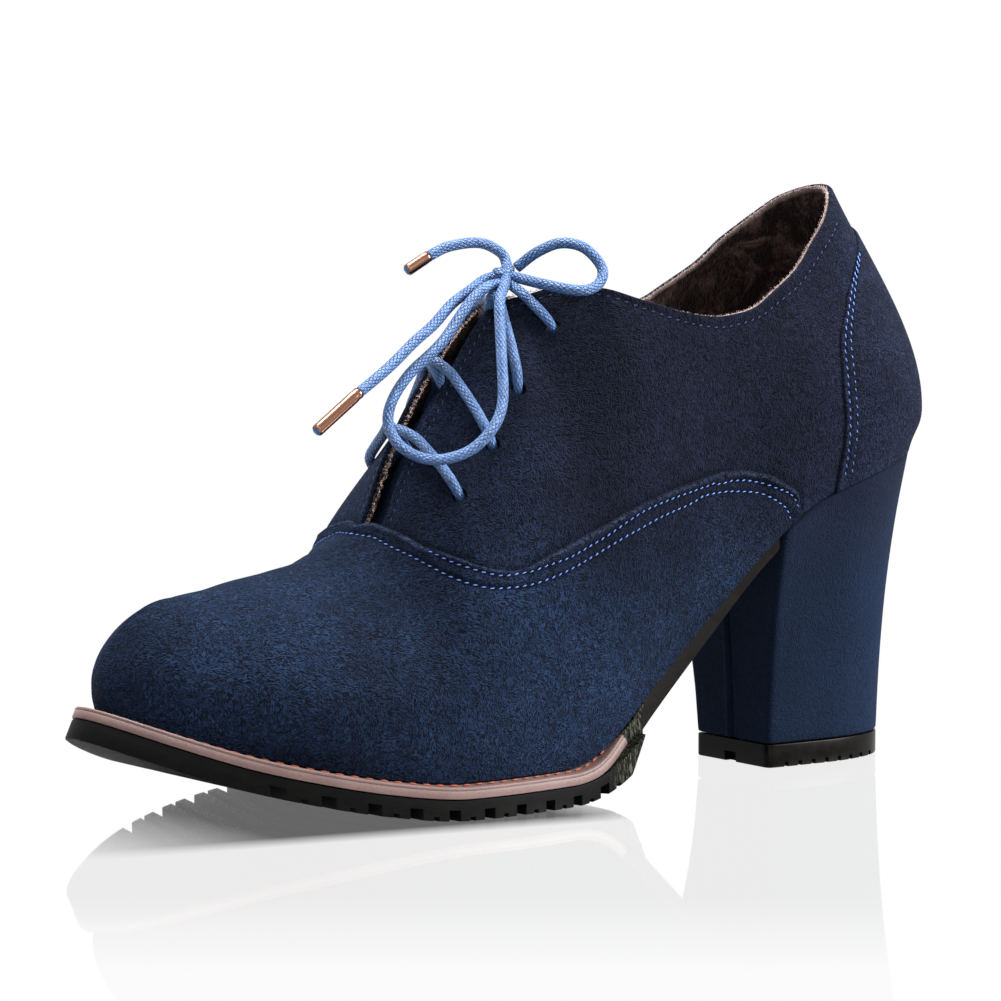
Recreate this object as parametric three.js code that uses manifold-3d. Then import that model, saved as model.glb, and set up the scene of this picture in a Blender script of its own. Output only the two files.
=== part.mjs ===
// Lace up heel, left shoe: a suede shootie on a covered block heel.
// Millimetres, +Z up. While the pieces are made, X runs from the heel to the toe, Y to the
// shoe's outer side, and Z from the floor. The whole is centred on its footprint at the end.
import * as THREE from 'three';
import Module from 'manifold-3d';
import { mergeVertices } from 'three/addons/utils/BufferGeometryUtils.js';

const wasm = await Module();
wasm.setup();

// Driving sizes
const LAST_LENGTH = 224;        // heel to toe along the feather line, where the upper meets the sole
const BALL_WIDTH = 78;          // across the feather line at the ball
const UPPER_HEIGHT = 80;        // the instep above the feather line
const HEEL_RISE = 70;           // heel seat above the ball
const TOE_SPRING = 19.5;        // toe tip above the ball
const TOE_SWING = 11;           // how far the toe turns to the inner side
const THROAT_SKEW = 0.85;       // how far the inner facing sits behind the outer one
const WALL = 2;                 // suede and lining together
const OVERLAY = 0.7;            // step of the vamp and the back strip over the quarters
const OVERLAY_ROOT = 0.6;       // how deep the steps reach into the quarters
const SKIN = 0.5;               // quarters lie this much inside the last's outline
const CLEARANCE = 0.3;          // between pieces that meet
const SEAT_GAP = 0.5;           // under the upper's lower rim
const WELT_THICKNESS = 2.8;
const WELT_LEDGE = 4.2;         // beyond the feather line
const WELT_LAP = 5;             // under the upper
const WELT_TIP = 0.6;           // ledge that is left where the welt runs out
const WELT_TAPER = [-4, 14];    // from its stop, where it runs out and where it is full
const WELT_END = 0.478;         // share of the last's length where the welt stops
const OUTSOLE_THICKNESS = 4.8;
const OUTSOLE_INSET = 0.2;      // behind the welt's edge
const LUG_DEPTH = 2.6;
const LUG_LENGTH = 6.4;
const LUG_PITCH = 9.4;
const LUG_CHEVRON = 7;          // how far each chevron's middle leads its ends
const OUTSOLE_BEHIND = 0.9;     // the plate's end lies this much behind the welt's
const OUTSOLE_SLANT = 3;        // and its lower edge this much ahead of its upper one
const FILLING_BEHIND = 6;       // the end of its filling, behind the welt's
const FILLING_DROP = 0.2;       // the filling's face below the strip's
const TOE_BLOCK = 0.93;         // share of the last's length where the plain toe block ends
const SHANK_THICKNESS = [3, 4.8]; // the strip under the arch, at the heel's breast and the welt
const SHANK_INSET = [1.6, 0.3]; // inside the feather line at the heel's breast and at the welt
const INSOLE_THICKNESS = 2;
const BREAST = 0.243;           // share of the last's length at the heel's front face
const HEEL_BASE_LENGTH = 43.2;
const HEEL_BASE_WIDTH = 29.2;
const HEEL_PITCH = 5.6;         // how far the heel's back leans in from the seat to the floor
const BREAST_SEAM = 1.2;        // width and depth of the cover's seam in the breast
const LIFT_THICKNESS = 5.7;
const LIFT_GROOVE = 1.2;        // width and depth of the grooves in the top lift
const LIFT_PITCH = 4.2;
const EYELET_BORE = 3.6;
const INNER_EYELETS = 0.25;     // how much nearer the edge the inner side's are
const LACE = 2.6;
const LACE_SPRING = 0.8;        // how far a crossing lifts off the edges of the facings
const AGLET = 2.9;
const TONGUE_THICKNESS = 2;
const TONGUE_DROP = 4.0;        // tongue's face below the outline of the facings
const TONGUE_FLATTEN = 0.86;    // its half width against the outline's

// Sections along the sole: share of the length, of the heel's rise and of the toe spring
const RISE = [
  [-0.009, 1.003, 0], [0.036, 0.979, 0], [0.112, 0.921, 0], [0.163, 0.871, 0],
  [0.205, 0.814, 0], [0.237, 0.750, 0], [0.268, 0.671, 0], [0.299, 0.587, 0],
  [0.330, 0.497, 0], [0.366, 0.396, 0], [0.402, 0.297, 0], [0.438, 0.200, 0],
  [0.473, 0.106, 0], [0.509, 0.037, 0], [0.536, 0.009, 0], [0.562, 0, 0],
  [0.696, 0, 0], [0.781, 0, 0.10], [0.848, 0, 0.25], [0.915, 0, 0.45],
  [0.973, 0, 0.70], [1.031, 0, 1.00], [1.089, 0, 1.33],
];

// Sections round one half of the upper, from the toe to the back of the heel, in percent.
// x and y of the feather line, x and y of the top edge, height of the top edge, bulge of the
// wall and its height, then the top's fall in degrees and the fullness of side and top.
// x is a share of the length, y and bulge of half the ball's width, heights of the upper's.
const SECTIONS = [
  [100, 0.0, 92.4, 0.0, 31.9, 2.2, 8.4, 0, 37, 45],
  [99.3, 17.9, 91.7, 0.0, 33.0, 2.2, 8.4, 0, 37, 45],
  [97.4, 34.6, 90.4, 0.0, 35.9, 2.2, 9.0, 0, 37, 43],
  [94.2, 52.6, 87.9, 0.0, 40.4, 2.9, 10.2, 0, 39, 42],
  [89.3, 72.6, 84.4, 0.0, 46.9, 3.6, 12.0, 0, 42, 41],
  [83.0, 88.7, 79.9, 0.0, 53.5, 4.4, 13.8, 0, 42, 36],
  [76.8, 96.9, 75.2, 0.0, 60.8, 5.1, 16.2, 0, 41, 31],
  [71.0, 100, 70.8, 1.8, 73.9, 5.9, 18.8, 6, 42, 27],
  [67.9, 99.5, 68.5, 3.6, 90.3, 6.4, 21.2, 18, 43, 26],
  [65.2, 97.9, 66.1, 5.1, 104.0, 6.9, 23.8, 28, 44, 26],
  [61.6, 94.6, 62.7, 6.2, 118.4, 7.9, 27.5, 34, 44, 27],
  [58.0, 90.3, 59.2, 7.7, 130.2, 9.5, 32.5, 38, 44, 28],
  [54.0, 84.6, 55.6, 11.3, 136.5, 11.0, 37.5, 42, 44, 28],
  [50.4, 79.5, 52.0, 26.9, 135.9, 12.1, 41.2, 50, 44, 30],
  [46.4, 74.5, 48.0, 46.2, 128.6, 12.8, 45.0, 58, 45, 34],
  [41.5, 69.7, 42.4, 61.5, 112.5, 13.8, 47.5, 64, 42, 34],
  [36.2, 67.4, 36.6, 65.6, 95.3, 14.4, 47.5, 70, 40, 34],
  [30.8, 66.7, 31.2, 65.1, 80.8, 13.8, 42.5, 74, 38, 34],
  [25.4, 67.4, 26.1, 61.5, 72.0, 12.8, 35.0, 74, 38, 34],
  [20.1, 69.0, 21.4, 56.4, 70.2, 11.8, 27.5, 72, 38, 34],
  [14.7, 69.2, 17.9, 50.0, 73.0, 10.8, 21.2, 70, 38, 34],
  [8.9, 62.8, 14.7, 41.0, 75.7, 9.5, 16.2, 67, 36, 34],
  [4.0, 44.9, 12.2, 28.2, 78.6, 8.6, 13.1, 64, 35, 34],
  [1.6, 24.4, 10.6, 14.9, 80.1, 8.2, 11.9, 62, 35, 34],
  [0.7, 0.0, 9.9, 0.0, 80.7, 7.9, 11.2, 62, 35, 34],
];
const THROAT_SECTION = 6;       // the last section whose two halves meet on the ridge
const BULGE_SHARE = 0.22;       // share of the wall, from the sole up, below the bulge
const FEATHER_LEAN = 14;        // degrees that the wall leans out at the sole
const WALL_ROWS = 11;
const LEAST_STEP = 0.02;        // smallest share of the wall between two of its rows

// Top edge of the vamp on each side: place along the feather line, height up the wall
const VAMP_EDGE = [
  [0.300, 1.00], [0.306, 0.95], [0.314, 0.87], [0.322, 0.80], [0.334, 0.71], [0.356, 0.60],
  [0.388, 0.49], [0.458, 0.415], [0.497, 0.393], [0.556, 0.353], [0.598, 0.313],
  [0.632, 0.245], [0.664, 0.200], [0.701, 0.157], [0.732, 0.087], [0.748, 0.030],
];
// Front edge of the back strip: height up the wall, place along the feather line
const STRIP_EDGE = [
  [0, 0.795], [0.12, 0.788], [0.20, 0.785], [0.30, 0.784], [0.42, 0.787], [0.53, 0.793],
  [0.60, 0.800], [0.68, 0.820], [0.76, 0.847], [0.81, 0.888], [0.845, 0.950],
];
// Eyelets: place along the feather line, height up the wall, and the place where the lace that
// comes out of it crosses the edge of its facing
const EYELETS = [
  [0.369, 0.693, 0.366], [0.408, 0.710, 0.410], [0.447, 0.760, 0.462], [0.499, 0.880, 0.486],
];

// How the heel grows from its base to its seat
const HEEL_FLARE = [[0, 0], [0.25, 0.11], [0.5, 0.3], [0.75, 0.6], [1, 1]];

// Mesh helpers
const point = (x, y, z) => new THREE.Vector3(x, y, z);
const radians = (degrees) => THREE.MathUtils.degToRad(degrees);
const mix = (a, b, t) => a + (b - a) * t;
const clamp01 = (t) => Math.min(1, Math.max(0, t));
const ease = (t, from, to) => THREE.MathUtils.smoothstep(t, from, to);

// A curve through a table's rows that never overshoots them
function curve(rows, column, key = 0) {
  const xs = rows.map((row) => row[key]);
  const ys = rows.map((row) => row[column]);
  const last = xs.length - 1;
  const widths = xs.slice(1).map((x, i) => x - xs[i]);
  const rates = widths.map((width, i) => (ys[i + 1] - ys[i]) / width);
  const slopes = ys.map((_, i) => {
    if (i === 0) return rates[0];
    if (i === last) return rates[last - 1];
    const [before, after] = [rates[i - 1], rates[i]];
    const middle = (before * widths[i] + after * widths[i - 1]) / (widths[i - 1] + widths[i]);
    const least = Math.min(Math.abs(before), Math.abs(after), Math.abs(middle) / 2);
    return (Math.sign(before) + Math.sign(after)) * least;
  });
  return (x) => {
    let i = 0;
    while (i < last - 1 && x >= xs[i + 1]) i += 1;
    const t = clamp01((x - xs[i]) / widths[i]);
    const [t2, t3] = [t * t, t * t * t];
    return (2 * t3 - 3 * t2 + 1) * ys[i] + (t3 - 2 * t2 + t) * widths[i] * slopes[i]
      + (3 * t2 - 2 * t3) * ys[i + 1] + (t3 - t2) * widths[i] * slopes[i + 1];
  };
}

// A closed mesh from corner points and faces, its shared corners merged, facing out
function closed(points, faces) {
  const loose = new THREE.BufferGeometry();
  loose.setAttribute('position', new THREE.Float32BufferAttribute(points.flatMap((p) => p.toArray()), 3));
  loose.setIndex(faces.flat());
  const merged = mergeVertices(loose, 1e-4);
  const index = merged.index.array;
  const kept = [];
  for (let i = 0; i < index.length; i += 3) {
    const [a, b, c] = [index[i], index[i + 1], index[i + 2]];
    if (a !== b && b !== c && c !== a) kept.push([a, b, c]);
  }
  const at = (i) => new THREE.Vector3().fromBufferAttribute(merged.attributes.position, i);
  const volume = kept.reduce((sum, [a, b, c]) => sum + at(a).dot(at(b).cross(at(c))), 0);
  merged.setIndex(kept.flatMap(([a, b, c]) => (volume < 0 ? [a, c, b] : [a, b, c])));
  return merged;
}

function quad(a, b, c, d) {
  return [[a, b, c], [a, c, d]];
}

// A solid through closed sections. Corners k and last - k of a section face each other.
function loft(sections) {
  const n = sections[0].length;
  const faces = [];
  const cap = (base, turned) => {
    for (let k = 0; k < n / 2 - 1; k += 1) {
      const corners = [base + k, base + k + 1, base + n - 2 - k, base + n - 1 - k];
      faces.push(...quad(...(turned ? corners : corners.reverse())));
    }
  };
  for (let s = 0; s < sections.length - 1; s += 1) {
    for (let k = 0; k < n; k += 1) {
      const next = (k + 1) % n;
      faces.push(...quad(s * n + k, s * n + next, (s + 1) * n + next, (s + 1) * n + k));
    }
  }
  cap(0, false);
  cap((sections.length - 1) * n, true);
  return closed(sections.flat(), faces);
}

function toSolid(geometry) {
  return new wasm.Manifold(new wasm.Mesh({
    numProp: 3,
    vertProperties: new Float32Array(geometry.attributes.position.array),
    triVerts: new Uint32Array(geometry.index.array),
  }));
}

function toGeometry(solid) {
  const result = solid.getMesh();
  const geometry = new THREE.BufferGeometry();
  geometry.setAttribute('position', new THREE.BufferAttribute(new Float32Array(result.vertProperties), 3));
  geometry.setIndex(new THREE.BufferAttribute(new Uint32Array(result.triVerts), 1));
  return geometry;
}

// Joins solids and fills any pocket that is left closed in between
function join(...geometries) {
  const whole = geometries.map(toSolid).reduce((a, b) => a.add(b));
  return toGeometry(whole.decompose().find((piece) => piece.volume() > 0));
}

const cut = (body, ...tools) => (
  toGeometry(tools.map(toSolid).reduce((a, b) => a.subtract(b), toSolid(body))));
const common = (a, b) => toGeometry(toSolid(a).intersect(toSolid(b)));

// The last
const riseCurve = curve(RISE, 1);
const springCurve = curve(RISE, 2);
const STACK = OUTSOLE_THICKNESS + WELT_THICKNESS + SEAT_GAP + CLEARANCE;

// Height of the feather line above the floor
function featherHeight(x) {
  const share = x / LAST_LENGTH;
  return STACK + HEEL_RISE * riseCurve(share) + TOE_SPRING * springCurve(share);
}

// The sections, carried on over the centre plane at both ends so that the halves meet smoothly
const mirrorRow = (row) => row.map((value, column) => (column === 1 || column === 3 ? -value : value));
const extended = [
  mirrorRow(SECTIONS[2]), mirrorRow(SECTIONS[1]), ...SECTIONS,
  mirrorRow(SECTIONS.at(-2)), mirrorRow(SECTIONS.at(-3)),
];
const featherRun = [0];
extended.slice(1).forEach((row, i) => {
  const dx = (row[0] - extended[i][0]) / 100 * LAST_LENGTH;
  const dy = (row[1] - extended[i][1]) / 200 * BALL_WIDTH;
  featherRun.push(featherRun[i] + Math.hypot(dx, dy));
});
const featherLength = featherRun.at(-3) - featherRun[2];
const keyed = extended.map((row, i) => [...row, (featherRun[i] - featherRun[2]) / featherLength]);
const KEY = keyed[0].length - 1;
const [featherX, featherY, topX, topY, topRise, bulgeOut, bulgeUp, topFall, sideFull, topFull] = (
  SECTIONS[0].map((_, column) => curve(keyed, column, KEY)));
const THROAT = keyed[THROAT_SECTION + 2][KEY];

const length = (percent) => percent / 100 * LAST_LENGTH;
const halfWidth = (percent) => percent / 200 * BALL_WIDTH;
const height = (percent) => percent / 100 * UPPER_HEIGHT;
const bezier = (a, b, c, d, t) => (
  (1 - t) ** 3 * a + 3 * (1 - t) ** 2 * t * b + 3 * (1 - t) * t * t * c + t ** 3 * d);

function topEdge(u) {
  const z = featherHeight(length(featherX(u))) + height(topRise(u));
  return point(length(topX(u)), u <= THROAT ? 0 : halfWidth(topY(u)), z);
}

// A point of the outline, before the toe's swing: u runs from the toe to the heel along one
// side, v from the sole to the top edge. The wall's curve lies in an upright plane.
function outlinePoint(u, v) {
  const feather = point(length(featherX(u)), halfWidth(featherY(u)), 0);
  feather.z = featherHeight(feather.x);
  const top = topEdge(u);
  const across = point(feather.x - top.x, feather.y - top.y, 0);
  const reach = across.length();
  across.divideScalar(reach);
  const out = reach + halfWidth(bulgeOut(u));
  const rise = height(bulgeUp(u));
  const bulgeZ = feather.z + rise;
  let r;
  let z;
  if (v < BULGE_SHARE) {
    const t = v / BULGE_SHARE;
    const lean = radians(FEATHER_LEAN);
    r = bezier(reach, reach + Math.sin(lean) * rise / 2, out, out, t);
    z = bezier(feather.z, feather.z + Math.cos(lean) * rise / 2, bulgeZ - 0.45 * rise, bulgeZ, t);
  } else {
    const t = (v - BULGE_SHARE) / (1 - BULGE_SHARE);
    const step = 0.002;
    const [before, after] = [topEdge(u - step), topEdge(u + step)];
    const ridge = (after.z - before.z) / Math.min(after.x - before.x, -0.001);
    const onRidge = clamp01(1 - top.y / 3);
    const fall = -Math.tan(radians(topFall(u))) + ridge * across.x * onRidge;
    const span = topFull(u) / 100 * Math.hypot(out, top.z - bulgeZ) / Math.hypot(1, fall);
    r = bezier(out, out, span, 0, t);
    z = bezier(bulgeZ, mix(bulgeZ, top.z, sideFull(u) / 100), top.z + fall * span, top.z, t);
  }
  return point(top.x + across.x * r, top.y + across.y * r, z);
}

// The toe swings to the inner side, and the inner facing sits a little lower and further back
const swing = (x) => -TOE_SWING * clamp01((x / LAST_LENGTH - 0.49) / 0.54) ** 2;

function bend(p) {
  const atThroat = ease(p.z / UPPER_HEIGHT, 0.7, 1.35) * ease(p.x / LAST_LENGTH, 0.38, 0.5);
  const inward = Math.min(p.y, 0) / (1 + Math.abs(p.y) / 8);
  const shift = THROAT_SKEW * atThroat * inward;
  return point(p.x + shift, p.y + swing(p.x), p.z + shift);
}

// A point of the wall on side 1 (outer) or -1 (inner), offset outward from the outline
function wallPoint(u, v, side, offset) {
  const step = 0.004;
  const centre = outlinePoint(u, v);
  const vLow = Math.max(0, v - step);
  const vHigh = Math.min(1, v + step);
  const along = outlinePoint(u + step, v).sub(outlinePoint(u - step, v));
  const up = outlinePoint(u, vHigh).sub(outlinePoint(u, vLow));
  const normal = along.cross(up).normalize();
  if (Math.abs(centre.y) < 1e-6) normal.setY(0).normalize();
  centre.addScaledVector(normal, offset);
  return bend(point(centre.x, side * centre.y, centre.z));
}

// The feather line, grown outward in plan
function featherPoint(u, grow) {
  const step = 0.001;
  const at = (t) => new THREE.Vector2(length(featherX(t)), halfWidth(featherY(t)));
  const along = at(u + step).sub(at(u - step)).normalize();
  return at(u).add(new THREE.Vector2(along.y, -along.x).multiplyScalar(grow));
}

// A shell of the wall: stations round the shoe, rows up the wall, between two offsets. A station
// may start and stop part of the way up, and an edge may hold its place back at some heights.
// Where both halves end on the ridge they share it, and no rim is made there.
function wallShell(stations, rows, outer, inner, ring) {
  const points = [];
  const faces = [];
  const count = rows + 1;
  stations.forEach(({ u, side, low = 0, high, edge = () => 0 }) => {
    for (const offset of [outer, inner]) {
      for (let j = 0; j < count; j += 1) {
        const v = j / rows < high - LEAST_STEP ? Math.max(low, j / rows) : high;
        points.push(wallPoint(u > edge(v) + LEAST_STEP / 4 ? u : edge(v), v, side, offset));
      }
    }
  });
  const id = (s, layer, j) => (2 * (s % stations.length) + layer) * count + j;
  const onRidge = ({ u, high }) => high === 1 && u <= THROAT;
  const spans = ring ? stations.length : stations.length - 1;
  for (let s = 0; s < spans; s += 1) {
    for (let j = 0; j < rows; j += 1) {
      faces.push(...quad(id(s, 0, j), id(s, 0, j + 1), id(s + 1, 0, j + 1), id(s + 1, 0, j)));
      faces.push(...quad(id(s, 1, j), id(s + 1, 1, j), id(s + 1, 1, j + 1), id(s, 1, j + 1)));
    }
    faces.push(...quad(id(s, 0, 0), id(s + 1, 0, 0), id(s + 1, 1, 0), id(s, 1, 0)));
    if (!(onRidge(stations[s]) && onRidge(stations[(s + 1) % stations.length]))) {
      faces.push(...quad(id(s, 0, rows), id(s, 1, rows), id(s + 1, 1, rows), id(s + 1, 0, rows)));
    }
  }
  if (!ring) {
    for (let j = 0; j < rows; j += 1) {
      const end = stations.length - 1;
      faces.push(...quad(id(0, 0, j), id(0, 1, j), id(0, 1, j + 1), id(0, 0, j + 1)));
      faces.push(...quad(id(end, 0, j), id(end, 0, j + 1), id(end, 1, j + 1), id(end, 1, j)));
    }
  }
  return closed(points, faces);
}

// Evenly spaced places along the feather line, with the throat's end among them
function places(from, to, count, fixed = []) {
  const even = Array.from({ length: count + 1 }, (_, i) => mix(from, to, i / count));
  const clear = even.filter((u) => fixed.every((f) => Math.abs(u - f) > 0.006 || u === from || u === to));
  return [...clear, ...fixed].sort((a, b) => a - b);
}

// A round bar along a curve
function bar(points, diameter, sides, steps) {
  const path = points.length === 2 ? new THREE.LineCurve3(...points) : new THREE.CatmullRomCurve3(points);
  const section = new THREE.Shape();
  for (let i = 0; i < sides; i += 1) {
    const angle = (i + 0.5) / sides * 2 * Math.PI;
    const [x, y] = [Math.cos(angle) * diameter / 2, Math.sin(angle) * diameter / 2];
    if (i === 0) section.moveTo(x, y);
    else section.lineTo(x, y);
  }
  section.closePath();
  const tube = new THREE.ExtrudeGeometry(section, { steps, extrudePath: path });
  tube.deleteAttribute('normal');
  tube.deleteAttribute('uv');
  return mergeVertices(tube, 1e-4);
}

// Upper: one hollow wall with the vamp and the back strip as steps, punched for the laces. The
// steps share the wall's stations and rows, so that they stay even.
function upper() {
  const vampHeight = curve(VAMP_EDGE, 1);
  const [ridgeEnd, vampEnd] = [VAMP_EDGE[0][0], VAMP_EDGE.at(-1)[0]];
  const steep = VAMP_EDGE.slice(0, 6).map(([u]) => u);
  const half = places(0, 1, 36, [...steep, THROAT, THROAT + 0.008, vampEnd]);
  const ring = [
    ...half.map((u) => ({ u, side: 1, high: 1 })),
    ...half.slice(1, -1).reverse().map((u) => ({ u, side: -1, high: 1 })),
  ];
  const wall = wallShell(ring, WALL_ROWS, -SKIN, -SKIN - WALL, true);

  const vampStation = (side) => (u) => (
    { u, side, low: LEAST_STEP, high: u <= ridgeEnd ? 1 : vampHeight(u) });
  const vampHalf = half.filter((u) => u <= vampEnd);
  const vamp = overlay([
    ...vampHalf.slice(1).reverse().map(vampStation(-1)), ...vampHalf.map(vampStation(1)),
  ]);

  const edge = curve(STRIP_EDGE, 1);
  const high = STRIP_EDGE.at(-1)[0];
  const stripStation = (side) => (u) => ({ u, side, low: LEAST_STEP, high, edge });
  const stripHalf = half.filter((u) => u > Math.min(...STRIP_EDGE.map((row) => row[1])) - 0.02);
  const strip = overlay([
    ...stripHalf.map(stripStation(1)), ...stripHalf.slice(0, -1).reverse().map(stripStation(-1)),
  ]);

  return cut(join(wall, vamp, strip), ...eyeletPunches());
}

const overlay = (stations) => wallShell(stations, WALL_ROWS, OVERLAY - SKIN, -SKIN - OVERLAY_ROOT, false);

// The place of an eyelet, and of the lace's way from it to the edge of the facing
const eyeletAt = ([u, v, meet], side, share = 0) => {
  const t = side > 0 ? share : mix(INNER_EYELETS, 1, share);
  return [mix(u, meet, t), mix(v, 1, t)];
};

function eyeletPunches() {
  return [1, -1].flatMap((side) => EYELETS.map((row) => {
    const [u, v] = eyeletAt(row, side);
    const outside = wallPoint(u, v, side, 3);
    const inside = wallPoint(u, v, side, -WALL - 3);
    return bar([outside, inside], EYELET_BORE, 10, 1);
  }));
}

// A place at some depth below the feather line, square to the sole's own slope
function below(x, y, depth) {
  const step = 0.5;
  const slope = (featherHeight(x + step) - featherHeight(x - step)) / (2 * step);
  const down = depth / Math.hypot(1, slope);
  return point(x + slope * down, y + swing(x), featherHeight(x) - down);
}

// Flat pieces that follow the sole, between two depths. The outline is the feather line's,
// grown by some length. Both may be functions of x.
function plate(us, grow, bottom, top, topUs = us) {
  const at = (value, x) => (typeof value === 'function' ? value(x) : value);
  const level = (depth, stations) => {
    const edge = stations.map((u) => featherPoint(u, at(grow, length(featherX(u)))));
    const side = (sign) => edge.map((p) => below(p.x, sign * p.y, at(depth, p.x)));
    return [...side(1), ...side(-1).reverse()];
  };
  return loft([level(bottom, us), level(top, topUs)]);
}

// Place along the feather line where it passes x
function placeAt(x) {
  let [low, high] = [0, 1];
  for (let i = 0; i < 40; i += 1) {
    const middle = (low + high) / 2;
    if (length(featherX(middle)) > x) low = middle;
    else high = middle;
  }
  return low;
}

const seat = (x) => featherHeight(x) - SEAT_GAP;
const weltStop = WELT_END * LAST_LENGTH;
const breastX = BREAST * LAST_LENGTH;
const WELT_DEPTH = SEAT_GAP + WELT_THICKNESS;
const SOLE_DEPTH = WELT_DEPTH + CLEARANCE;

// Welt: a strip round the forefoot that tapers out at both ends
function welt() {
  const half = places(0, placeAt(weltStop), 22);
  const around = [...half.slice(1).reverse().map((u) => [u, -1]), ...half.map((u) => [u, 1])];
  return loft(around.map(([u, side]) => {
    const x = length(featherX(u));
    const full = ease(x, weltStop + WELT_TAPER[0], weltStop + WELT_TAPER[1]);
    const outer = featherPoint(u, mix(WELT_TIP, WELT_LEDGE, full));
    const inner = featherPoint(u, -WELT_LAP);
    const at = (p, depth) => below(p.x, side * p.y, depth);
    return [at(inner, SEAT_GAP), at(outer, SEAT_GAP), at(outer, WELT_DEPTH), at(inner, WELT_DEPTH)];
  }));
}

// Outsole: a plate with chevron grooves between its lugs, the last lug filled to the plate's
// end, a filling inside the welt, and the strip that runs under the arch to the heel's breast
function outsole() {
  const start = weltStop - OUTSOLE_BEHIND;
  const edge = WELT_LEDGE - OUTSOLE_INSET;
  const floorDepth = SOLE_DEPTH + OUTSOLE_THICKNESS;
  const lugDepth = floorDepth - LUG_DEPTH;
  const forefoot = (end) => places(0, placeAt(end), 24);
  const body = plate(forefoot(start + OUTSOLE_SLANT), edge, floorDepth, SOLE_DEPTH, forefoot(start));
  const under = plate(forefoot(start - LUG_PITCH), edge + LUG_PITCH, floorDepth + LUG_PITCH, lugDepth);
  const inside = places(0, placeAt(weltStop - FILLING_BEHIND), 20);
  const filling = plate(inside, -WELT_LAP - CLEARANCE, SOLE_DEPTH + CLEARANCE, SEAT_GAP + FILLING_DROP);
  const toeEnd = TOE_BLOCK * LAST_LENGTH;
  const count = Math.floor((toeEnd - LUG_CHEVRON - start) / LUG_PITCH);
  const grooves = Array.from({ length: count }, (_, i) => {
    const front = toeEnd - i * LUG_PITCH;
    return common(under, chevron(front - (LUG_PITCH - LUG_LENGTH), front));
  });
  return join(cut(body, ...grooves), filling, shankStrip(weltStop - 2 * CLEARANCE));
}

// A V-shaped block across the sole, its point to the toe
function chevron(back, front) {
  const half = BALL_WIDTH;
  const lead = LUG_CHEVRON * half / (BALL_WIDTH / 2);
  const centre = (x) => swing(x);
  const level = (z) => [
    point(front - lead, centre(front) + half, z), point(front, centre(front), z),
    point(front - lead, centre(front) - half, z), point(back - lead, centre(back) - half, z),
    point(back, centre(back), z), point(back - lead, centre(back) + half, z),
  ];
  return loft([level(-HEEL_RISE), level(2 * HEEL_RISE)]);
}

// The strip under the arch, its end cut upright along the heel's breast
function shankStrip(frontX) {
  const grow = (x) => -mix(...SHANK_INSET, ease(x, breastX, frontX));
  const depth = (x) => SEAT_GAP + mix(...SHANK_THICKNESS, ease(x, breastX, frontX));
  const setBack = (x) => x - below(x, 0, depth(x)).x;
  const endX = breastX + 2 * CLEARANCE;
  const stations = (end) => places(placeAt(frontX), placeAt(end), 10);
  return plate(stations(endX + setBack(endX)), grow, depth, SEAT_GAP, stations(endX));
}

// Insole: a plate inside the wall, over the whole sole
function insole() {
  const grow = -WALL - SKIN - 2 * CLEARANCE;
  return plate(places(0, 1, 40), grow, -CLEARANCE, -CLEARANCE - INSOLE_THICKNESS);
}

// Heel: sections from the base up to the seat, flared at the top, with the cover's seam
// cut down the middle of the breast
const liftTop = LIFT_THICKNESS;
const heelBack = length(SECTIONS.at(-1)[0]);

function heelSection(share, z) {
  const grown = curve(HEEL_FLARE, 1)(share);
  const us = places(placeAt(breastX), 1, 13);
  const baseBack = heelBack + HEEL_PITCH;
  const topWidth = 2 * featherPoint(placeAt(breastX), 0).y;
  const at = (u) => {
    const top = featherPoint(u, 0);
    const along = (top.x - heelBack) / (breastX - heelBack);
    const x = mix(baseBack + along * HEEL_BASE_LENGTH, top.x, grown);
    const y = mix(top.y * HEEL_BASE_WIDTH / topWidth, top.y, grown);
    return [x, y, z(top.x)];
  };
  const outer = us.map((u) => point(...at(u)));
  const inner = us.map((u) => at(u)).map(([x, y, h]) => point(x, -y, h));
  return [...outer, ...inner.reverse()];
}

function heel() {
  const base = liftTop + CLEARANCE;
  const sections = [0, 0.2, 0.4, 0.6, 0.8, 1].map((share) => (
    heelSection(share, (x) => mix(base, seat(x), share))));
  const front = heelBack + HEEL_PITCH + HEEL_BASE_LENGTH;
  const seam = loft([-1, 1].map((side) => {
    const y = side * BREAST_SEAM / 2;
    const depth = BREAST_SEAM;
    const top = featherHeight(breastX) + 1;
    return [
      point(front - depth, y, 0), point(breastX - depth, y, top),
      point(breastX + HEEL_BASE_LENGTH, y, top), point(breastX + HEEL_BASE_LENGTH, y, 0),
    ];
  }));
  return cut(loft(sections), seam);
}

function topLift() {
  const body = loft([heelSection(0, () => 0), heelSection(0, () => liftTop)]);
  const front = heelBack + HEEL_PITCH + HEEL_BASE_LENGTH;
  const count = Math.floor((HEEL_BASE_LENGTH - 2 * LIFT_PITCH) / LIFT_PITCH);
  const grooves = Array.from({ length: count }, (_, i) => {
    const x = front - LIFT_PITCH * (i + 1.5);
    const level = (z) => [
      point(x, HEEL_BASE_WIDTH, z), point(x + LIFT_GROOVE, HEEL_BASE_WIDTH, z),
      point(x + LIFT_GROOVE, -HEEL_BASE_WIDTH, z), point(x, -HEEL_BASE_WIDTH, z),
    ];
    return loft([level(-1), level(LIFT_GROOVE)]);
  });
  return cut(body, ...grooves);
}

// Tongue: a strip that bridges the throat under the facings
const TONGUE_PLACES = [0.270, 0.300, 0.330, 0.360, 0.390, 0.420, 0.450, 0.480];
const TONGUE_ROWS = [0.60, 0.70, 0.80, 0.90, 1.00];

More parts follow.
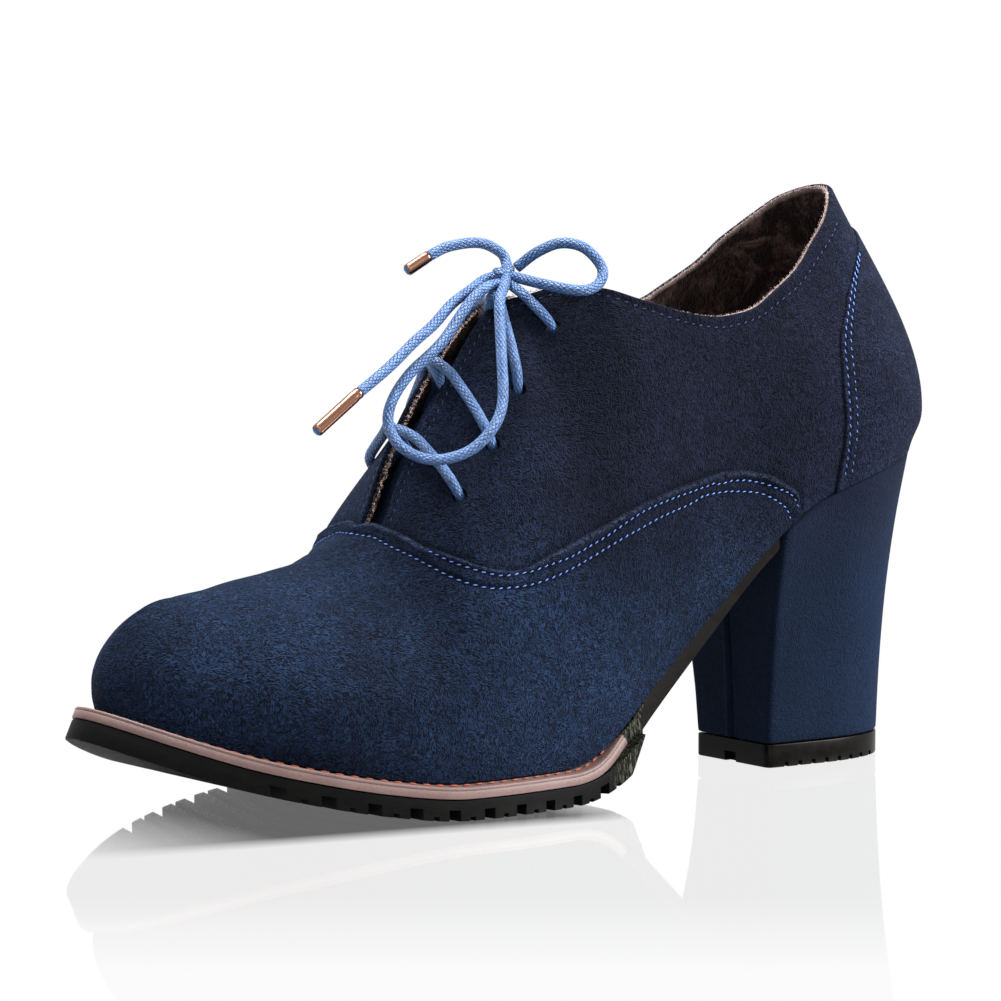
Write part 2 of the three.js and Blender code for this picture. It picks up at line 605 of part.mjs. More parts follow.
function tongue() {
  return loft(TONGUE_PLACES.map((u) => {
    const [before, after] = [topEdge(u - 0.01), topEdge(u + 0.01)];
    const along = after.sub(before).setY(0).normalize();
    const inward = point(-along.z, 0, along.x);
    if (inward.z > 0) inward.negate();
    const side = (sign, depth) => TONGUE_ROWS.map((v) => {
      const p = outlinePoint(u, v);
      return bend(point(p.x + inward.x * depth, sign * p.y * TONGUE_FLATTEN, p.z + inward.z * depth));
    });
    const layer = (depth) => [...side(1, depth), ...side(-1, depth).reverse()];
    const bottom = layer(TONGUE_DROP + TONGUE_THICKNESS);
    return [...layer(TONGUE_DROP), ...bottom.reverse()];
  }));
}

// Laces
const laceHeight = LACE / 2 + 2 * CLEARANCE - SKIN;

const KNOT = point(121.1, 1, 123.8);
const KNOT_SIZE = [3.5, 3.1, 2.9];

// A crossing: from the outer eyelet over its facing, across the throat, to the inner eyelet
function laceCrossing(pair) {
  const arm = (side) => [0, 0.35, 0.7, 1].map((t) => (
    wallPoint(...eyeletAt(EYELETS[pair], side, t), side, laceHeight + LACE_SPRING * t)));
  const outer = arm(1);
  const inner = arm(-1);
  const underKnot = KNOT.clone().setZ(KNOT.z - KNOT_SIZE[2] - LACE / 2 - CLEARANCE);
  const last = pair === EYELETS.length - 1;
  const middle = last ? underKnot : outer.at(-1).clone().lerp(inner.at(-1), 0.5);
  return bar([...outer, middle, ...inner.reverse()], LACE, 8, 11);
}

// Free lengths of lace, chosen by hand
const FRONT_LOOP = [
  [124.8, 4.2, 121.9], [129.6, 5.8, 121.0], [135.6, 7.3, 117.1], [144.4, 9, 108.0], [154.4, 10, 100.6],
  [160.8, 12, 94.0],
  [162.7, 14, 88.4], [161.2, 18, 83.5], [155.6, 22, 80.9], [147.8, 25, 82.6], [141.7, 26.4, 87.8],
  [137.2, 24.4, 94.2], [134.0, 19.2, 105.5], [129.7, 12, 117.2], [124.6, 6.6, 121.6],
];
const REAR_LOOP = [
  [118.4, 2.9, 125.7], [115.2, 7, 129.3], [110.8, 11, 131.5], [106.4, 15, 130.3], [103.3, 18, 125.8],
  [104.7, 20, 122.4], [108.7, 21, 120.4], [112.9, 19.6, 120.3], [118.0, 13, 121.9], [120.2, 5.0, 123.4],
];
const FRONT_END = [
  [125.3, -0.3, 122.9], [130.8, 1.5, 120.4], [137.8, 4, 117.2], [144.6, 6.5, 112.5], [151.3, 8.5, 108.7],
  [158.2, 10, 103.9], [164.4, 11, 100.0], [168.6, 11.5, 97.5],
];
const REAR_END = [
  [118.5, -1.4, 126.3], [118.9, -3.2, 128.9], [123.0, -6, 131.1], [130.3, -8, 130.3], [135.7, -9, 127.9],
];
const FRONT_AGLET = [[168.9, 11.54, 97.2], [180.4, 12, 89.1]];
const REAR_AGLET = [[136.1, -9.1, 127.6], [140.9, -10, 124.6]];
const toPoints = (rows) => rows.map((row) => point(...row));

function knot() {
  const ball = new THREE.SphereGeometry(1, 12, 8);
  ball.scale(...KNOT_SIZE);
  ball.deleteAttribute('normal');
  ball.deleteAttribute('uv');
  ball.translate(...KNOT.toArray());
  return mergeVertices(ball, 1e-4);
}

// Materials
const suede = { color: 0x1c2f5c, roughness: 0.95, metalness: 0 };
const rubber = { color: 0x1a1a1c, roughness: 0.75, metalness: 0 };
const taupe = { color: 0x876e6c, roughness: 0.7, metalness: 0 };
const plush = { color: 0x6b5553, roughness: 1, metalness: 0 };
const lace = { color: 0x5687c3, roughness: 0.6, metalness: 0 };
const copper = { color: 0xa0806c, roughness: 0.35, metalness: 0.8 };

// Assembly
const shoe = new THREE.Group();

function add(name, geometry, finish) {
  const mesh = new THREE.Mesh(geometry, new THREE.MeshStandardMaterial(finish));
  mesh.name = name;
  shoe.add(mesh);
}

add('upper', upper(), suede);
add('outsole', outsole(), rubber);
add('welt', welt(), taupe);
add('insole', insole(), plush);
add('heel', heel(), suede);
add('top_lift', topLift(), rubber);
add('tongue', tongue(), suede);
EYELETS.forEach((_, i) => add(`lace_crossing_${i + 1}`, laceCrossing(i), lace));
const cords = [
  ['lace_knot', knot(), lace],
  ['lace_loop_front', bar(toPoints(FRONT_LOOP), LACE, 8, 26), lace],
  ['lace_loop_rear', bar(toPoints(REAR_LOOP), LACE, 8, 18), lace],
  ['lace_end_front', bar(toPoints(FRONT_END), LACE, 8, 12), lace],
  ['lace_end_rear', bar(toPoints(REAR_END), LACE, 8, 8), lace],
  ['aglet_front', bar(toPoints(FRONT_AGLET), AGLET, 8, 1), copper],
  ['aglet_rear', bar(toPoints(REAR_AGLET), AGLET, 8, 1), copper],
];

// Centre the shoe itself on its footprint; the free laces follow
const footprint = new THREE.Box3().setFromObject(shoe);
const centre = footprint.getCenter(new THREE.Vector3());
shoe.position.set(-centre.x, -centre.y, -footprint.min.z);
cords.forEach(([name, geometry, finish]) => add(name, geometry, finish));

export default shoe;
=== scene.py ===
import math

import bmesh
import bpy
import numpy as np
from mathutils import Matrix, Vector


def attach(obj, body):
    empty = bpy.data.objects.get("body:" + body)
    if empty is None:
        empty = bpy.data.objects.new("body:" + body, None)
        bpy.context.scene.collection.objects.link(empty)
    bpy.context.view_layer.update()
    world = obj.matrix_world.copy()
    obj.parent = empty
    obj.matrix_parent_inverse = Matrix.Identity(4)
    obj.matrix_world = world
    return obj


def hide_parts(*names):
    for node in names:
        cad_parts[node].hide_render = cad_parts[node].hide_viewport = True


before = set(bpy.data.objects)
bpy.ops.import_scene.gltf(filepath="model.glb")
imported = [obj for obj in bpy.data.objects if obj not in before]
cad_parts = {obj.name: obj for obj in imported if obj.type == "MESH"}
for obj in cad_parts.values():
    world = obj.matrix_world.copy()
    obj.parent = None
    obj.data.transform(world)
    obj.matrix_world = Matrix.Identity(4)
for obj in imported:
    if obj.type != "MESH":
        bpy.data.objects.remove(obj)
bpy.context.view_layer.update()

# Camera and light
# Points are worked out in the shoe's own millimetres: X from the heel to the toe, Y to the
# outer side, Z from the floor. The lens is long, so the shoe shows almost no perspective.
ORIGIN = np.array([-115.005, 1.780, 0.0])
VIEW_AZIMUTH, VIEW_ELEVATION = math.radians(35), math.radians(5.3)
VIEW_TARGET = np.array([120.3, 0.0, 68.7])
VIEW_DISTANCE = 1200.0
SOFT_LOSS = 0.72                # share of the surroundings' light that the shoe doesn't get


def metres(points):
    return (np.asarray(points, float) + ORIGIN) / 1000


toward = np.array([
    math.sin(VIEW_AZIMUTH) * math.cos(VIEW_ELEVATION),
    math.cos(VIEW_AZIMUTH) * math.cos(VIEW_ELEVATION),
    math.sin(VIEW_ELEVATION),
])
camera = bpy.data.objects.new("camera", bpy.data.cameras.new("camera"))
camera.data.lens = 180.8
camera.data.sensor_width = 36
camera.data.clip_end = 20
camera.location = Vector(metres(VIEW_TARGET + VIEW_DISTANCE * toward))
camera.rotation_euler = Vector(-toward).to_track_quat("-Z", "Y").to_euler()
bpy.context.scene.collection.objects.link(camera)
bpy.context.scene.camera = camera
bpy.context.scene.view_settings.view_transform = "Standard"


def area_light(name, place, size, power):
    light = bpy.data.objects.new(name, bpy.data.lights.new(name, "AREA"))
    light.data.shape = "DISK"
    light.data.size = size
    light.data.energy = power
    light.location = Vector(place)
    light.rotation_euler = (Vector((0, 0, 0.06)) - light.location).to_track_quat("-Z", "Y").to_euler()
    bpy.context.scene.collection.objects.link(light)


# a soft light in front of the toe, one overhead, one behind and a weak one from the camera's side
area_light("key", (0.75, 0.35, 0.95), 0.8, 7)
area_light("top", (0.0, -0.3, 1.3), 0.6, 42)
area_light("back", (-0.75, 0.55, 0.55), 0.6, 28)
area_light("front", (0.35, 1.0, 0.35), 0.9, 3.5)


def dimmed(tree):
    """A strength of one as the camera and mirrors see it, less as light on the shoe."""
    path = tree.nodes.new("ShaderNodeLightPath")
    share = tree.nodes.new("ShaderNodeMath")
    share.operation = "MULTIPLY_ADD"
    tree.links.new(path.outputs["Is Diffuse Ray"], share.inputs[0])
    share.inputs[1].default_value, share.inputs[2].default_value = -SOFT_LOSS, 1.0
    return share.outputs[0]


world = bpy.data.worlds.new("studio")
world.use_nodes = True
world.node_tree.nodes["Background"].inputs["Color"].default_value = (1, 1, 1, 1)
world.node_tree.links.new(dimmed(world.node_tree), world.node_tree.nodes["Background"].inputs["Strength"])
bpy.context.scene.world = world


# Materials
# A socket that Python's own maths can work on, and a builder that starts from one
# Principled shader. Lengths in patterns are in millimetres.
class Value:
    def __init__(self, tree, socket):
        self.tree, self.socket = tree, socket

    def maths(self, operation, *values):
        node = self.tree.nodes.new("ShaderNodeMath")
        node.operation = operation
        for slot, value in zip(node.inputs, values):
            if isinstance(value, Value):
                self.tree.links.new(value.socket, slot)
            else:
                slot.default_value = value
        return Value(self.tree, node.outputs[0])

    def __add__(self, other): return self.maths("ADD", self, other)
    def __radd__(self, other): return self.maths("ADD", other, self)
    def __sub__(self, other): return self.maths("SUBTRACT", self, other)
    def __rsub__(self, other): return self.maths("SUBTRACT", other, self)
    def __mul__(self, other): return self.maths("MULTIPLY", self, other)
    def __rmul__(self, other): return self.maths("MULTIPLY", other, self)
    def __truediv__(self, other): return self.maths("DIVIDE", self, other)
    def __pow__(self, other): return self.maths("POWER", self, other)
    def __neg__(self): return self.maths("MULTIPLY", self, -1)
    def sin(self): return self.maths("SINE", self)
    def abs(self): return self.maths("ABSOLUTE", self)
    def fract(self): return self.maths("FRACT", self)
    def max(self, other): return self.maths("MAXIMUM", self, other)
    def min(self, other): return self.maths("MINIMUM", self, other)
    def clamp(self): return self.max(0).min(1)
    def step(self, low, high): return ((self - low) / (high - low)).clamp()


class Shader:
    def __init__(self, name, **constants):
        self.material = bpy.data.materials.new(name)
        self.material.use_nodes = True
        self.tree = self.material.node_tree
        self.base = self.tree.nodes["Principled BSDF"]
        for key, value in constants.items():
            self.base.inputs[key.replace("_", " ").title().replace("Ior", "IOR")].default_value = value
        coordinates = self.tree.nodes.new("ShaderNodeTexCoord")
        scaled = self.node("VectorMath", coordinates.outputs["Object"], (1000, 1000, 1000),
                           operation="MULTIPLY")
        self.place = scaled.outputs[0]
        self.uv = coordinates.outputs["UV"]

    def node(self, kind, *inputs, **settings):
        node = self.tree.nodes.new("ShaderNode" + kind)
        for key, value in settings.items():
            if hasattr(node, key):
                setattr(node, key, value)
        sockets = [(key, value) for key, value in settings.items() if not hasattr(node, key)]
        for key, value in [*enumerate(inputs), *sockets]:
            slot = node.inputs[key]
            if isinstance(value, Value):
                value = value.socket
            if isinstance(value, bpy.types.NodeSocket):
                self.tree.links.new(value, slot)
            else:
                slot.default_value = value
        return node

    def noise(self, size, detail=2.0, stretch=(1, 1, 1), distortion=0.0, roughness=0.5):
        flat = self.node("VectorMath", self.place, tuple(1 / (size * s) for s in stretch),
                         operation="MULTIPLY")
        node = self.node("TexNoise", Vector=flat.outputs[0], Scale=1.0, Detail=detail,
                         Roughness=roughness, Distortion=distortion)
        return Value(self.tree, node.outputs["Fac"])

    def mix(self, fac, a, b):
        node = self.tree.nodes.new("ShaderNodeMix")
        node.data_type = "RGBA"
        self.tree.links.new(fac.socket, node.inputs[0])
        for slot, value in ((node.inputs[6], a), (node.inputs[7], b)):
            if isinstance(value, bpy.types.NodeSocket):
                self.tree.links.new(value, slot)
            else:
                slot.default_value = (*value, 1)
        return node.outputs[2]

    def axis(self, vector, letter):
        return Value(self.tree, self.node("SeparateXYZ", vector).outputs[letter])

    def color(self, socket):
        self.tree.links.new(socket, self.base.inputs["Base Color"])

    def rough(self, value):
        self.tree.links.new(value.socket, self.base.inputs["Roughness"])

    def bump(self, height, depth):
        node = self.node("Bump", Height=height.socket, Distance=depth / 1000, Strength=1.0)
        self.tree.links.new(node.outputs[0], self.base.inputs["Normal"])


def rgb(r, g, b):
    """An sRGB colour of the photograph as the linear one that the shader wants."""
    return tuple(((c / 255 + 0.055) / 1.055) ** 2.4 if c > 10 else c / 255 / 12.92 for c in (r, g, b))


# Laces
# A waxed round braid, as tubes on smooth curves. Their mesh carries the braid's place as
# UV: turns round the lace, and millimetres along it.
LACE = 2.6
AGLET = 2.9
KNOT = np.array([120.1, 1.0, 122.4])


def run_along(path):
    """Millimetres along a path of points, from its first one."""
    return np.concatenate([[0], np.cumsum(np.linalg.norm(np.diff(path, axis=0), axis=1))])


def hill(distance, width):
    """One where the distance is nothing, fading out over a width."""
    return np.exp(-(distance / width) ** 2)


def smooth_path(points, spacing=0.8):
    """A Catmull-Rom curve through the points, cut evenly."""
    p = np.asarray(points, float)
    p = np.vstack([2 * p[0] - p[1], p, 2 * p[-1] - p[-2]])
    fine = []
    for i in range(1, len(p) - 2):
        t = np.linspace(0, 1, 24, endpoint=False)[:, None]
        a, b, c, d = p[i - 1:i + 3]
        fine.append(0.5 * (2 * b + (c - a) * t + (2 * a - 5 * b + 4 * c - d) * t**2
                           + (3 * b - a - 3 * c + d) * t**3))
    fine = np.vstack([*fine, p[-2]])
    run = run_along(fine)
    even = np.linspace(0, run[-1], max(3, int(run[-1] / spacing)) + 1)
    return np.column_stack([np.interp(even, run, fine[:, k]) for k in range(3)])


def bands(count, n):
    """The faces between rings of n vertices each."""
    return [(s * n + k, s * n + (k + 1) % n, (s + 1) * n + (k + 1) % n, (s + 1) * n + k)
            for s in range(count - 1) for k in range(n)]


def tube(path, width, sides=14):
    """Vertices, faces and UV of a tube. width is a diameter, or one for each point."""
    n = len(path)
    along = np.gradient(path, axis=0)
    along /= np.linalg.norm(along, axis=1)[:, None]
    side = np.cross(along[0], [0.3, 0.2, 1.0])
    rows = []
    for i in range(n):
        side = side - along[i] * side.dot(along[i])
        side /= np.linalg.norm(side)
        rows.append((side, np.cross(along[i], side)))
    run = run_along(path)
    half = np.broadcast_to(np.asarray(width, float) / 2, n)
    angle = np.arange(sides) / sides * 2 * math.pi
    points = [path[i] + half[i] * (np.cos(a) * rows[i][0] + np.sin(a) * rows[i][1])
              for i in range(n) for a in angle]
    faces = bands(n, sides)
    uvs = [[(k / sides, run[i]), ((k + 1) / sides, run[i]), ((k + 1) / sides, run[i + 1]),
            (k / sides, run[i + 1])] for i in range(n - 1) for k in range(sides)]
    for ring, turn in ((0, -1), ((n - 1) * sides, 1)):
        faces.append(tuple(range(ring, ring + sides))[::turn])
        uvs.append([(0, 0)] * sides)
    return np.array(points), faces, uvs


def piece(name, parts, material, replaced=()):
    """One object from parts of vertices in millimetres, faces, and UV or None."""
    vertices, faces, uvs, base = [], [], [], 0
    for part in parts:
        points, part_faces, part_uvs = (*part, None)[:3]
        vertices.append(metres(points))
        faces += [tuple(base + i for i in face) for face in part_faces]
        uvs += part_uvs if part_uvs else [[(0, 0)] * len(face) for face in part_faces]
        base += len(points)
    mesh = bpy.data.meshes.new(name)
    mesh.from_pydata(np.vstack(vertices).tolist(), [], faces)
    layer = mesh.uv_layers.new(name="UVMap")
    layer.data.foreach_set("uv", np.array([c for face in uvs for c in face], float).ravel())
    mesh.materials.append(material)
    mesh.polygons.foreach_set("use_smooth", [True] * len(mesh.polygons))
    mesh.validate()
    obj = bpy.data.objects.new(name, mesh)
    bpy.context.scene.collection.objects.link(obj)
    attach(obj, "root")
    if replaced:
        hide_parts(*replaced)
    return obj


def braid(name, dark, light):
    """Strands crossing in two directions, with painted shade between them, worn and flecked."""
    shader = Shader(name, roughness=0.5, specular_ior_level=0.5)
    turn, run = shader.axis(shader.uv, "X"), shader.axis(shader.uv, "Y")
    left = (turn * 8 + run / 1.5).fract() - 0.5
    right = (turn * 8 - run / 1.5).fract() - 0.5
    strand = (left.abs() * 2).max(right.abs() * 2)
    thread = ((turn * 60 + run * 3.4).sin() * 0.5 + 0.5) * 0.25
    wear, fleck = shader.noise(1.6, 3), shader.noise(0.35, 2, distortion=0.6)
    # painted shade: each strand lighter along its middle and darker in the grooves between strands
    fac = (1.0 - strand) * 0.55 + thread + (wear - 0.5) * 0.9 + (fleck - 0.5) * 1.5 + 0.05
    shader.color(shader.mix(fac.clamp(), dark, light))
    shader.bump(1 - strand ** 3 + thread * 0.5, 0.22)
    return shader.material


LACE_BRAID = braid("lace braid", rgb(22, 52, 98), rgb(88, 130, 184))
COPPER = Shader("copper", base_color=(*rgb(128, 92, 76), 1), metallic=1.0, roughness=0.24).material

FRONT_LOOP = [
    (124.8, 4.2, 121.9), (129.6, 5.8, 121.0), (135.6, 7.3, 117.1), (144.4, 9, 108.0), (154.4, 10, 100.6),
    (160.8, 12, 94.0), (162.7, 14, 88.4), (161.2, 18, 83.5), (155.6, 22, 80.9), (147.8, 25, 82.6),
    (141.7, 26.4, 87.8), (137.2, 24.4, 94.2), (134.0, 19.2, 105.5), (129.7, 12, 117.2), (124.6, 6.6, 121.6),
]
REAR_LOOP = [
    (118.4, 2.9, 125.7), (115.2, 7, 129.3), (110.8, 11, 131.5), (106.4, 15, 130.3), (103.3, 18, 125.8),
    (104.7, 20, 122.4), (108.7, 21, 120.4), (112.9, 19.6, 120.3), (118.0, 13, 121.9), (120.2, 5.0, 123.4),
]
FRONT_END = [
    (125.3, -0.3, 122.9), (130.8, 1.5, 120.4), (137.8, 4, 117.2), (144.6, 6.5, 112.5), (151.3, 8.5, 108.7),
    (158.2, 10, 103.9), (164.4, 11, 100.0), (168.6, 11.5, 97.5),
]
REAR_END = [
    (118.5, -1.4, 126.3), (118.9, -3.2, 128.9), (123.0, -6, 131.1), (130.3, -8, 130.3), (135.7, -9, 127.9),
]
AGLETS = {
    "front": [(168.6, 11.5, 97.5), (180.4, 12, 89.1)],
    "rear": [(135.7, -9, 127.9), (140.9, -10, 124.6)],
}
SAG, SAG_REACH = np.array([-1.0, 0, -1.4]), 45.0


def sagged(points, tightness=1.0):
    """The bow hangs a little below its stiff curve, most of all near the knot."""
    away = (np.asarray(points, float) - KNOT + SAG) * tightness
    weight = np.exp(-np.linalg.norm(away, axis=1) / SAG_REACH)
    return [tuple(p) for p in KNOT - SAG + away + weight[:, None] * SAG]


FRONT_LOOP, REAR_LOOP = sagged(FRONT_LOOP, 0.975), sagged(REAR_LOOP, 0.962)
FRONT_END, REAR_END = sagged(FRONT_END), sagged(REAR_END)
AGLETS = {end: sagged(points) for end, points in AGLETS.items()}

for end, (start, stop) in AGLETS.items():
    path = smooth_path([start, stop], 0.5)
    share = np.linspace(0, 1, len(path))
    width = AGLET * (1 - 0.08 * hill(share - 0.06, 0.03) - 0.05 * (share > 0.97))
    piece(f"aglet_{end}_tube", [tube(path, width, 20)], COPPER, [f"aglet_{end}"])
    tip = path[-1] + (path[-1] - path[-3]) / np.linalg.norm(path[-1] - path[-3]) * [[-0.8], [0], [0.35]]
    piece(f"lace_{end}_tip", [tube(tip, [2.3, 2.3, 1.9], 14)], LACE_BRAID)

CORDS = {
    "front": ([*FRONT_LOOP, tuple(KNOT + [0, 1.4, 0.2]), *REAR_END],
              ["lace_loop_front", "lace_end_rear"], "rear"),
    "rear": ([*REAR_LOOP, tuple(KNOT + [0.6, 1.2, 0.0]), *FRONT_END],
             ["lace_loop_rear", "lace_end_front"], "front"),
}
for name, (points, nodes, end) in CORDS.items():
    path = smooth_path(points)
    cord = piece(f"lace_{name}_bow", [tube(path, LACE)], LACE_BRAID, nodes)
    reach = run_along(path)[-1] / 1000


def ring(centre, axis, radius, turns, phase, pitch=0.0):
    """A path that winds round an axis."""
    axis = np.asarray(axis, float) / np.linalg.norm(axis)
    one = np.cross(axis, [0, 0, 1.0])
    one /= np.linalg.norm(one)
    two = np.cross(axis, one)
    angle = phase + np.linspace(0, turns * 2 * math.pi, int(26 * turns))
    return (centre + radius * (np.cos(angle)[:, None] * one + np.sin(angle)[:, None] * two)
            + axis * (pitch * np.linspace(-0.5, 0.5, len(angle)))[:, None])


knot_paths = [
    ring(KNOT, (0.75, -0.35, 0.75), 2.15, 1.15, 0.4, 1.6),
    ring(KNOT + [0.1, 0.3, -0.2], (-0.6, 0.2, 0.9), 1.9, 0.9, 2.6, 1.0),
]
piece("lace_knot_wraps", [tube(smooth_path(p, 0.5), LACE * 0.96) for p in knot_paths], LACE_BRAID,
      ["lace_knot"])

# Floor
# A bright white table top with a faint mirror. Under the forefoot the mirror is stronger: a real
# reflection of the dark sole that also serves as painted contact shadow. The mirror fades with the
# distance toward the camera.
CONTACT_LINE, CONTACT_EDGE = ((206.3, 44.8), (142.1, 54.9)), (-3.0, 9.0)
CONTACT_FRONT, CONTACT_BACK = np.array([206, 262]) + ORIGIN[0], np.array([112, 135]) + ORIGIN[0]
MIRROR, MIRROR_FADE, MIRROR_AT_CONTACT = 0.17, 0.13, 0.70
FADE_RANGE, FADE_START = (225, 310), 65
floor_shader = Shader("floor")
glow = floor_shader.node("Emission", Color=(1, 1, 1, 1))
floor_tree = floor_shader.tree
floor_tree.links.new(dimmed(floor_tree), glow.inputs["Strength"])
gloss = floor_shader.node("BsdfGlossy", Color=(1, 1, 1, 1), Roughness=0.03)
(x0, y0), (x1, y1) = CONTACT_LINE
floor_x, floor_y = (floor_shader.axis(floor_shader.place, letter) for letter in "XY")
across = (floor_x - (x0 + ORIGIN[0])) * (y1 - y0)
across = across - (floor_y - (y0 + ORIGIN[1])) * (x1 - x0)
inside = (across / math.hypot(x1 - x0, y1 - y0) * -1).step(*CONTACT_EDGE)
toward_toe, toward_heel = 1 - floor_x.step(*CONTACT_FRONT), floor_x.step(*CONTACT_BACK)
away = floor_x * math.sin(VIEW_AZIMUTH) + floor_y * math.cos(VIEW_AZIMUTH) + FADE_START
# stronger mirror under the forefoot: a real reflection of the sole that also stands in as painted contact
# shadow
contact_mirror = inside * toward_toe * toward_heel * MIRROR_AT_CONTACT
mirror_share = contact_mirror + MIRROR - away.step(*FADE_RANGE) * MIRROR_FADE
blend = floor_shader.node("MixShader", mirror_share, glow.outputs[0], gloss.outputs[0])
floor_tree.links.new(blend.outputs[0], floor_tree.nodes["Material Output"].inputs[0])
floor_mesh = bpy.data.meshes.new("floor")
floor_mesh.from_pydata([(-6, -6, 0), (6, -6, 0), (6, 6, 0), (-6, 6, 0)], [], [(0, 1, 2, 3)])
floor_mesh.materials.append(floor_shader.material)
floor = bpy.data.objects.new("floor", floor_mesh)
bpy.context.scene.collection.objects.link(floor)

# The last
# The wooden form that the shoe is made over. It has the sizes and sections of the solids, so
# that every piece lies where its solid is.
LAST_LENGTH, BALL_WIDTH, UPPER_HEIGHT = 224.0, 78.0, 80.0
HEEL_RISE, TOE_SPRING, TOE_SWING, THROAT_SKEW = 70.0, 19.5, 11.0, 0.85
SKIN, WALL, OVERLAY, CLEARANCE, SEAT_GAP = 0.5, 2.0, 0.7, 0.3, 0.5
WELT_THICKNESS, WELT_LEDGE, WELT_LAP, WELT_END = 2.8, 4.2, 5.0, 0.478
OUTSOLE_THICKNESS = 4.8
STACK = OUTSOLE_THICKNESS + WELT_THICKNESS + SEAT_GAP + CLEARANCE

# share of the length, share of the heel's rise, share of the toe spring
RISE = np.array([
    (-0.009, 1.003, 0), (0.036, 0.979, 0), (0.112, 0.921, 0), (0.163, 0.871, 0), (0.205, 0.814, 0),
    (0.237, 0.750, 0), (0.268, 0.671, 0), (0.299, 0.587, 0), (0.330, 0.497, 0), (0.366, 0.396, 0),
    (0.402, 0.297, 0), (0.438, 0.200, 0), (0.473, 0.106, 0), (0.509, 0.037, 0), (0.536, 0.009, 0),
    (0.562, 0, 0), (0.696, 0, 0), (0.781, 0, 0.10), (0.848, 0, 0.25), (0.915, 0, 0.45),
    (0.973, 0, 0.70), (1.031, 0, 1.00), (1.089, 0, 1.33),
])
# feather x and y, top x and y, top height, bulge and its height, top's fall, side and top fullness
SECTIONS = np.array([
    (100, 0.0, 92.4, 0.0, 31.9, 2.2, 8.4, 0, 37, 45),
    (99.3, 17.9, 91.7, 0.0, 33.0, 2.2, 8.4, 0, 37, 45),
    (97.4, 34.6, 90.4, 0.0, 35.9, 2.2, 9.0, 0, 37, 43),
    (94.2, 52.6, 87.9, 0.0, 40.4, 2.9, 10.2, 0, 39, 42),
    (89.3, 72.6, 84.4, 0.0, 46.9, 3.6, 12.0, 0, 42, 41),
    (83.0, 88.7, 79.9, 0.0, 53.5, 4.4, 13.8, 0, 42, 36),
    (76.8, 96.9, 75.2, 0.0, 60.8, 5.1, 16.2, 0, 41, 31),
    (71.0, 100, 70.8, 1.8, 73.9, 5.9, 18.8, 6, 42, 27),
    (67.9, 99.5, 68.5, 3.6, 90.3, 6.4, 21.2, 18, 43, 26),
    (65.2, 97.9, 66.1, 5.1, 104.0, 6.9, 23.8, 28, 44, 26),
    (61.6, 94.6, 62.7, 6.2, 118.4, 7.9, 27.5, 34, 44, 27),
    (58.0, 90.3, 59.2, 7.7, 130.2, 9.5, 32.5, 38, 44, 28),
    (54.0, 84.6, 55.6, 11.3, 136.5, 11.0, 37.5, 42, 44, 28),
    (50.4, 79.5, 52.0, 26.9, 135.9, 12.1, 41.2, 50, 44, 30),
    (46.4, 74.5, 48.0, 46.2, 128.6, 12.8, 45.0, 58, 45, 34),
    (41.5, 69.7, 42.4, 61.5, 112.5, 13.8, 47.5, 64, 42, 34),
    (36.2, 67.4, 36.6, 65.6, 95.3, 14.4, 47.5, 70, 40, 34),
    (30.8, 66.7, 31.2, 65.1, 80.8, 13.8, 42.5, 74, 38, 34),
    (25.4, 67.4, 26.1, 61.5, 72.0, 12.8, 35.0, 74, 38, 34),
    (20.1, 69.0, 21.4, 56.4, 70.2, 11.8, 27.5, 72, 38, 34),
    (14.7, 69.2, 17.9, 50.0, 73.0, 10.8, 21.2, 70, 38, 34),
    (8.9, 62.8, 14.7, 41.0, 75.7, 9.5, 16.2, 67, 36, 34),
    (4.0, 44.9, 12.2, 28.2, 78.6, 8.6, 13.1, 64, 35, 34),
    (1.6, 24.4, 10.6, 14.9, 80.1, 8.2, 11.9, 62, 35, 34),
    (0.7, 0.0, 9.9, 0.0, 80.7, 7.9, 11.2, 62, 35, 34),
])
THROAT_SECTION, BULGE_SHARE, FEATHER_LEAN = 6, 0.22, math.radians(14)
VAMP_EDGE = np.array([
    (0.312, 1.00), (0.318, 0.925), (0.321, 0.863), (0.325, 0.80), (0.331, 0.715), (0.341, 0.64),
    (0.353, 0.575), (0.363, 0.53), (0.376, 0.49), (0.390, 0.46), (0.406, 0.44), (0.424, 0.428),
    (0.440, 0.42), (0.460, 0.413), (0.480, 0.409), (0.500, 0.403), (0.530, 0.383), (0.558, 0.353),
    (0.589, 0.316), (0.616, 0.270), (0.637, 0.220), (0.658, 0.203), (0.680, 0.180), (0.703, 0.146),
    (0.725, 0.098), (0.743, 0.051), (0.751, 0.015),
])
STRIP_EDGE = np.array([
    (0, 0.795), (0.12, 0.788), (0.20, 0.785), (0.30, 0.784), (0.42, 0.787), (0.53, 0.793),
    (0.60, 0.800), (0.68, 0.820), (0.76, 0.847), (0.81, 0.888), (0.845, 0.950), (0.858, 0.980),
    (0.868, 1.0),
])
EYELETS = [(0.369, 0.693, 0.366), (0.408, 0.710, 0.410), (0.447, 0.760, 0.462), (0.499, 0.880, 0.486)]
EYELET_BORE, INNER_EYELETS = 3.6, 0.25


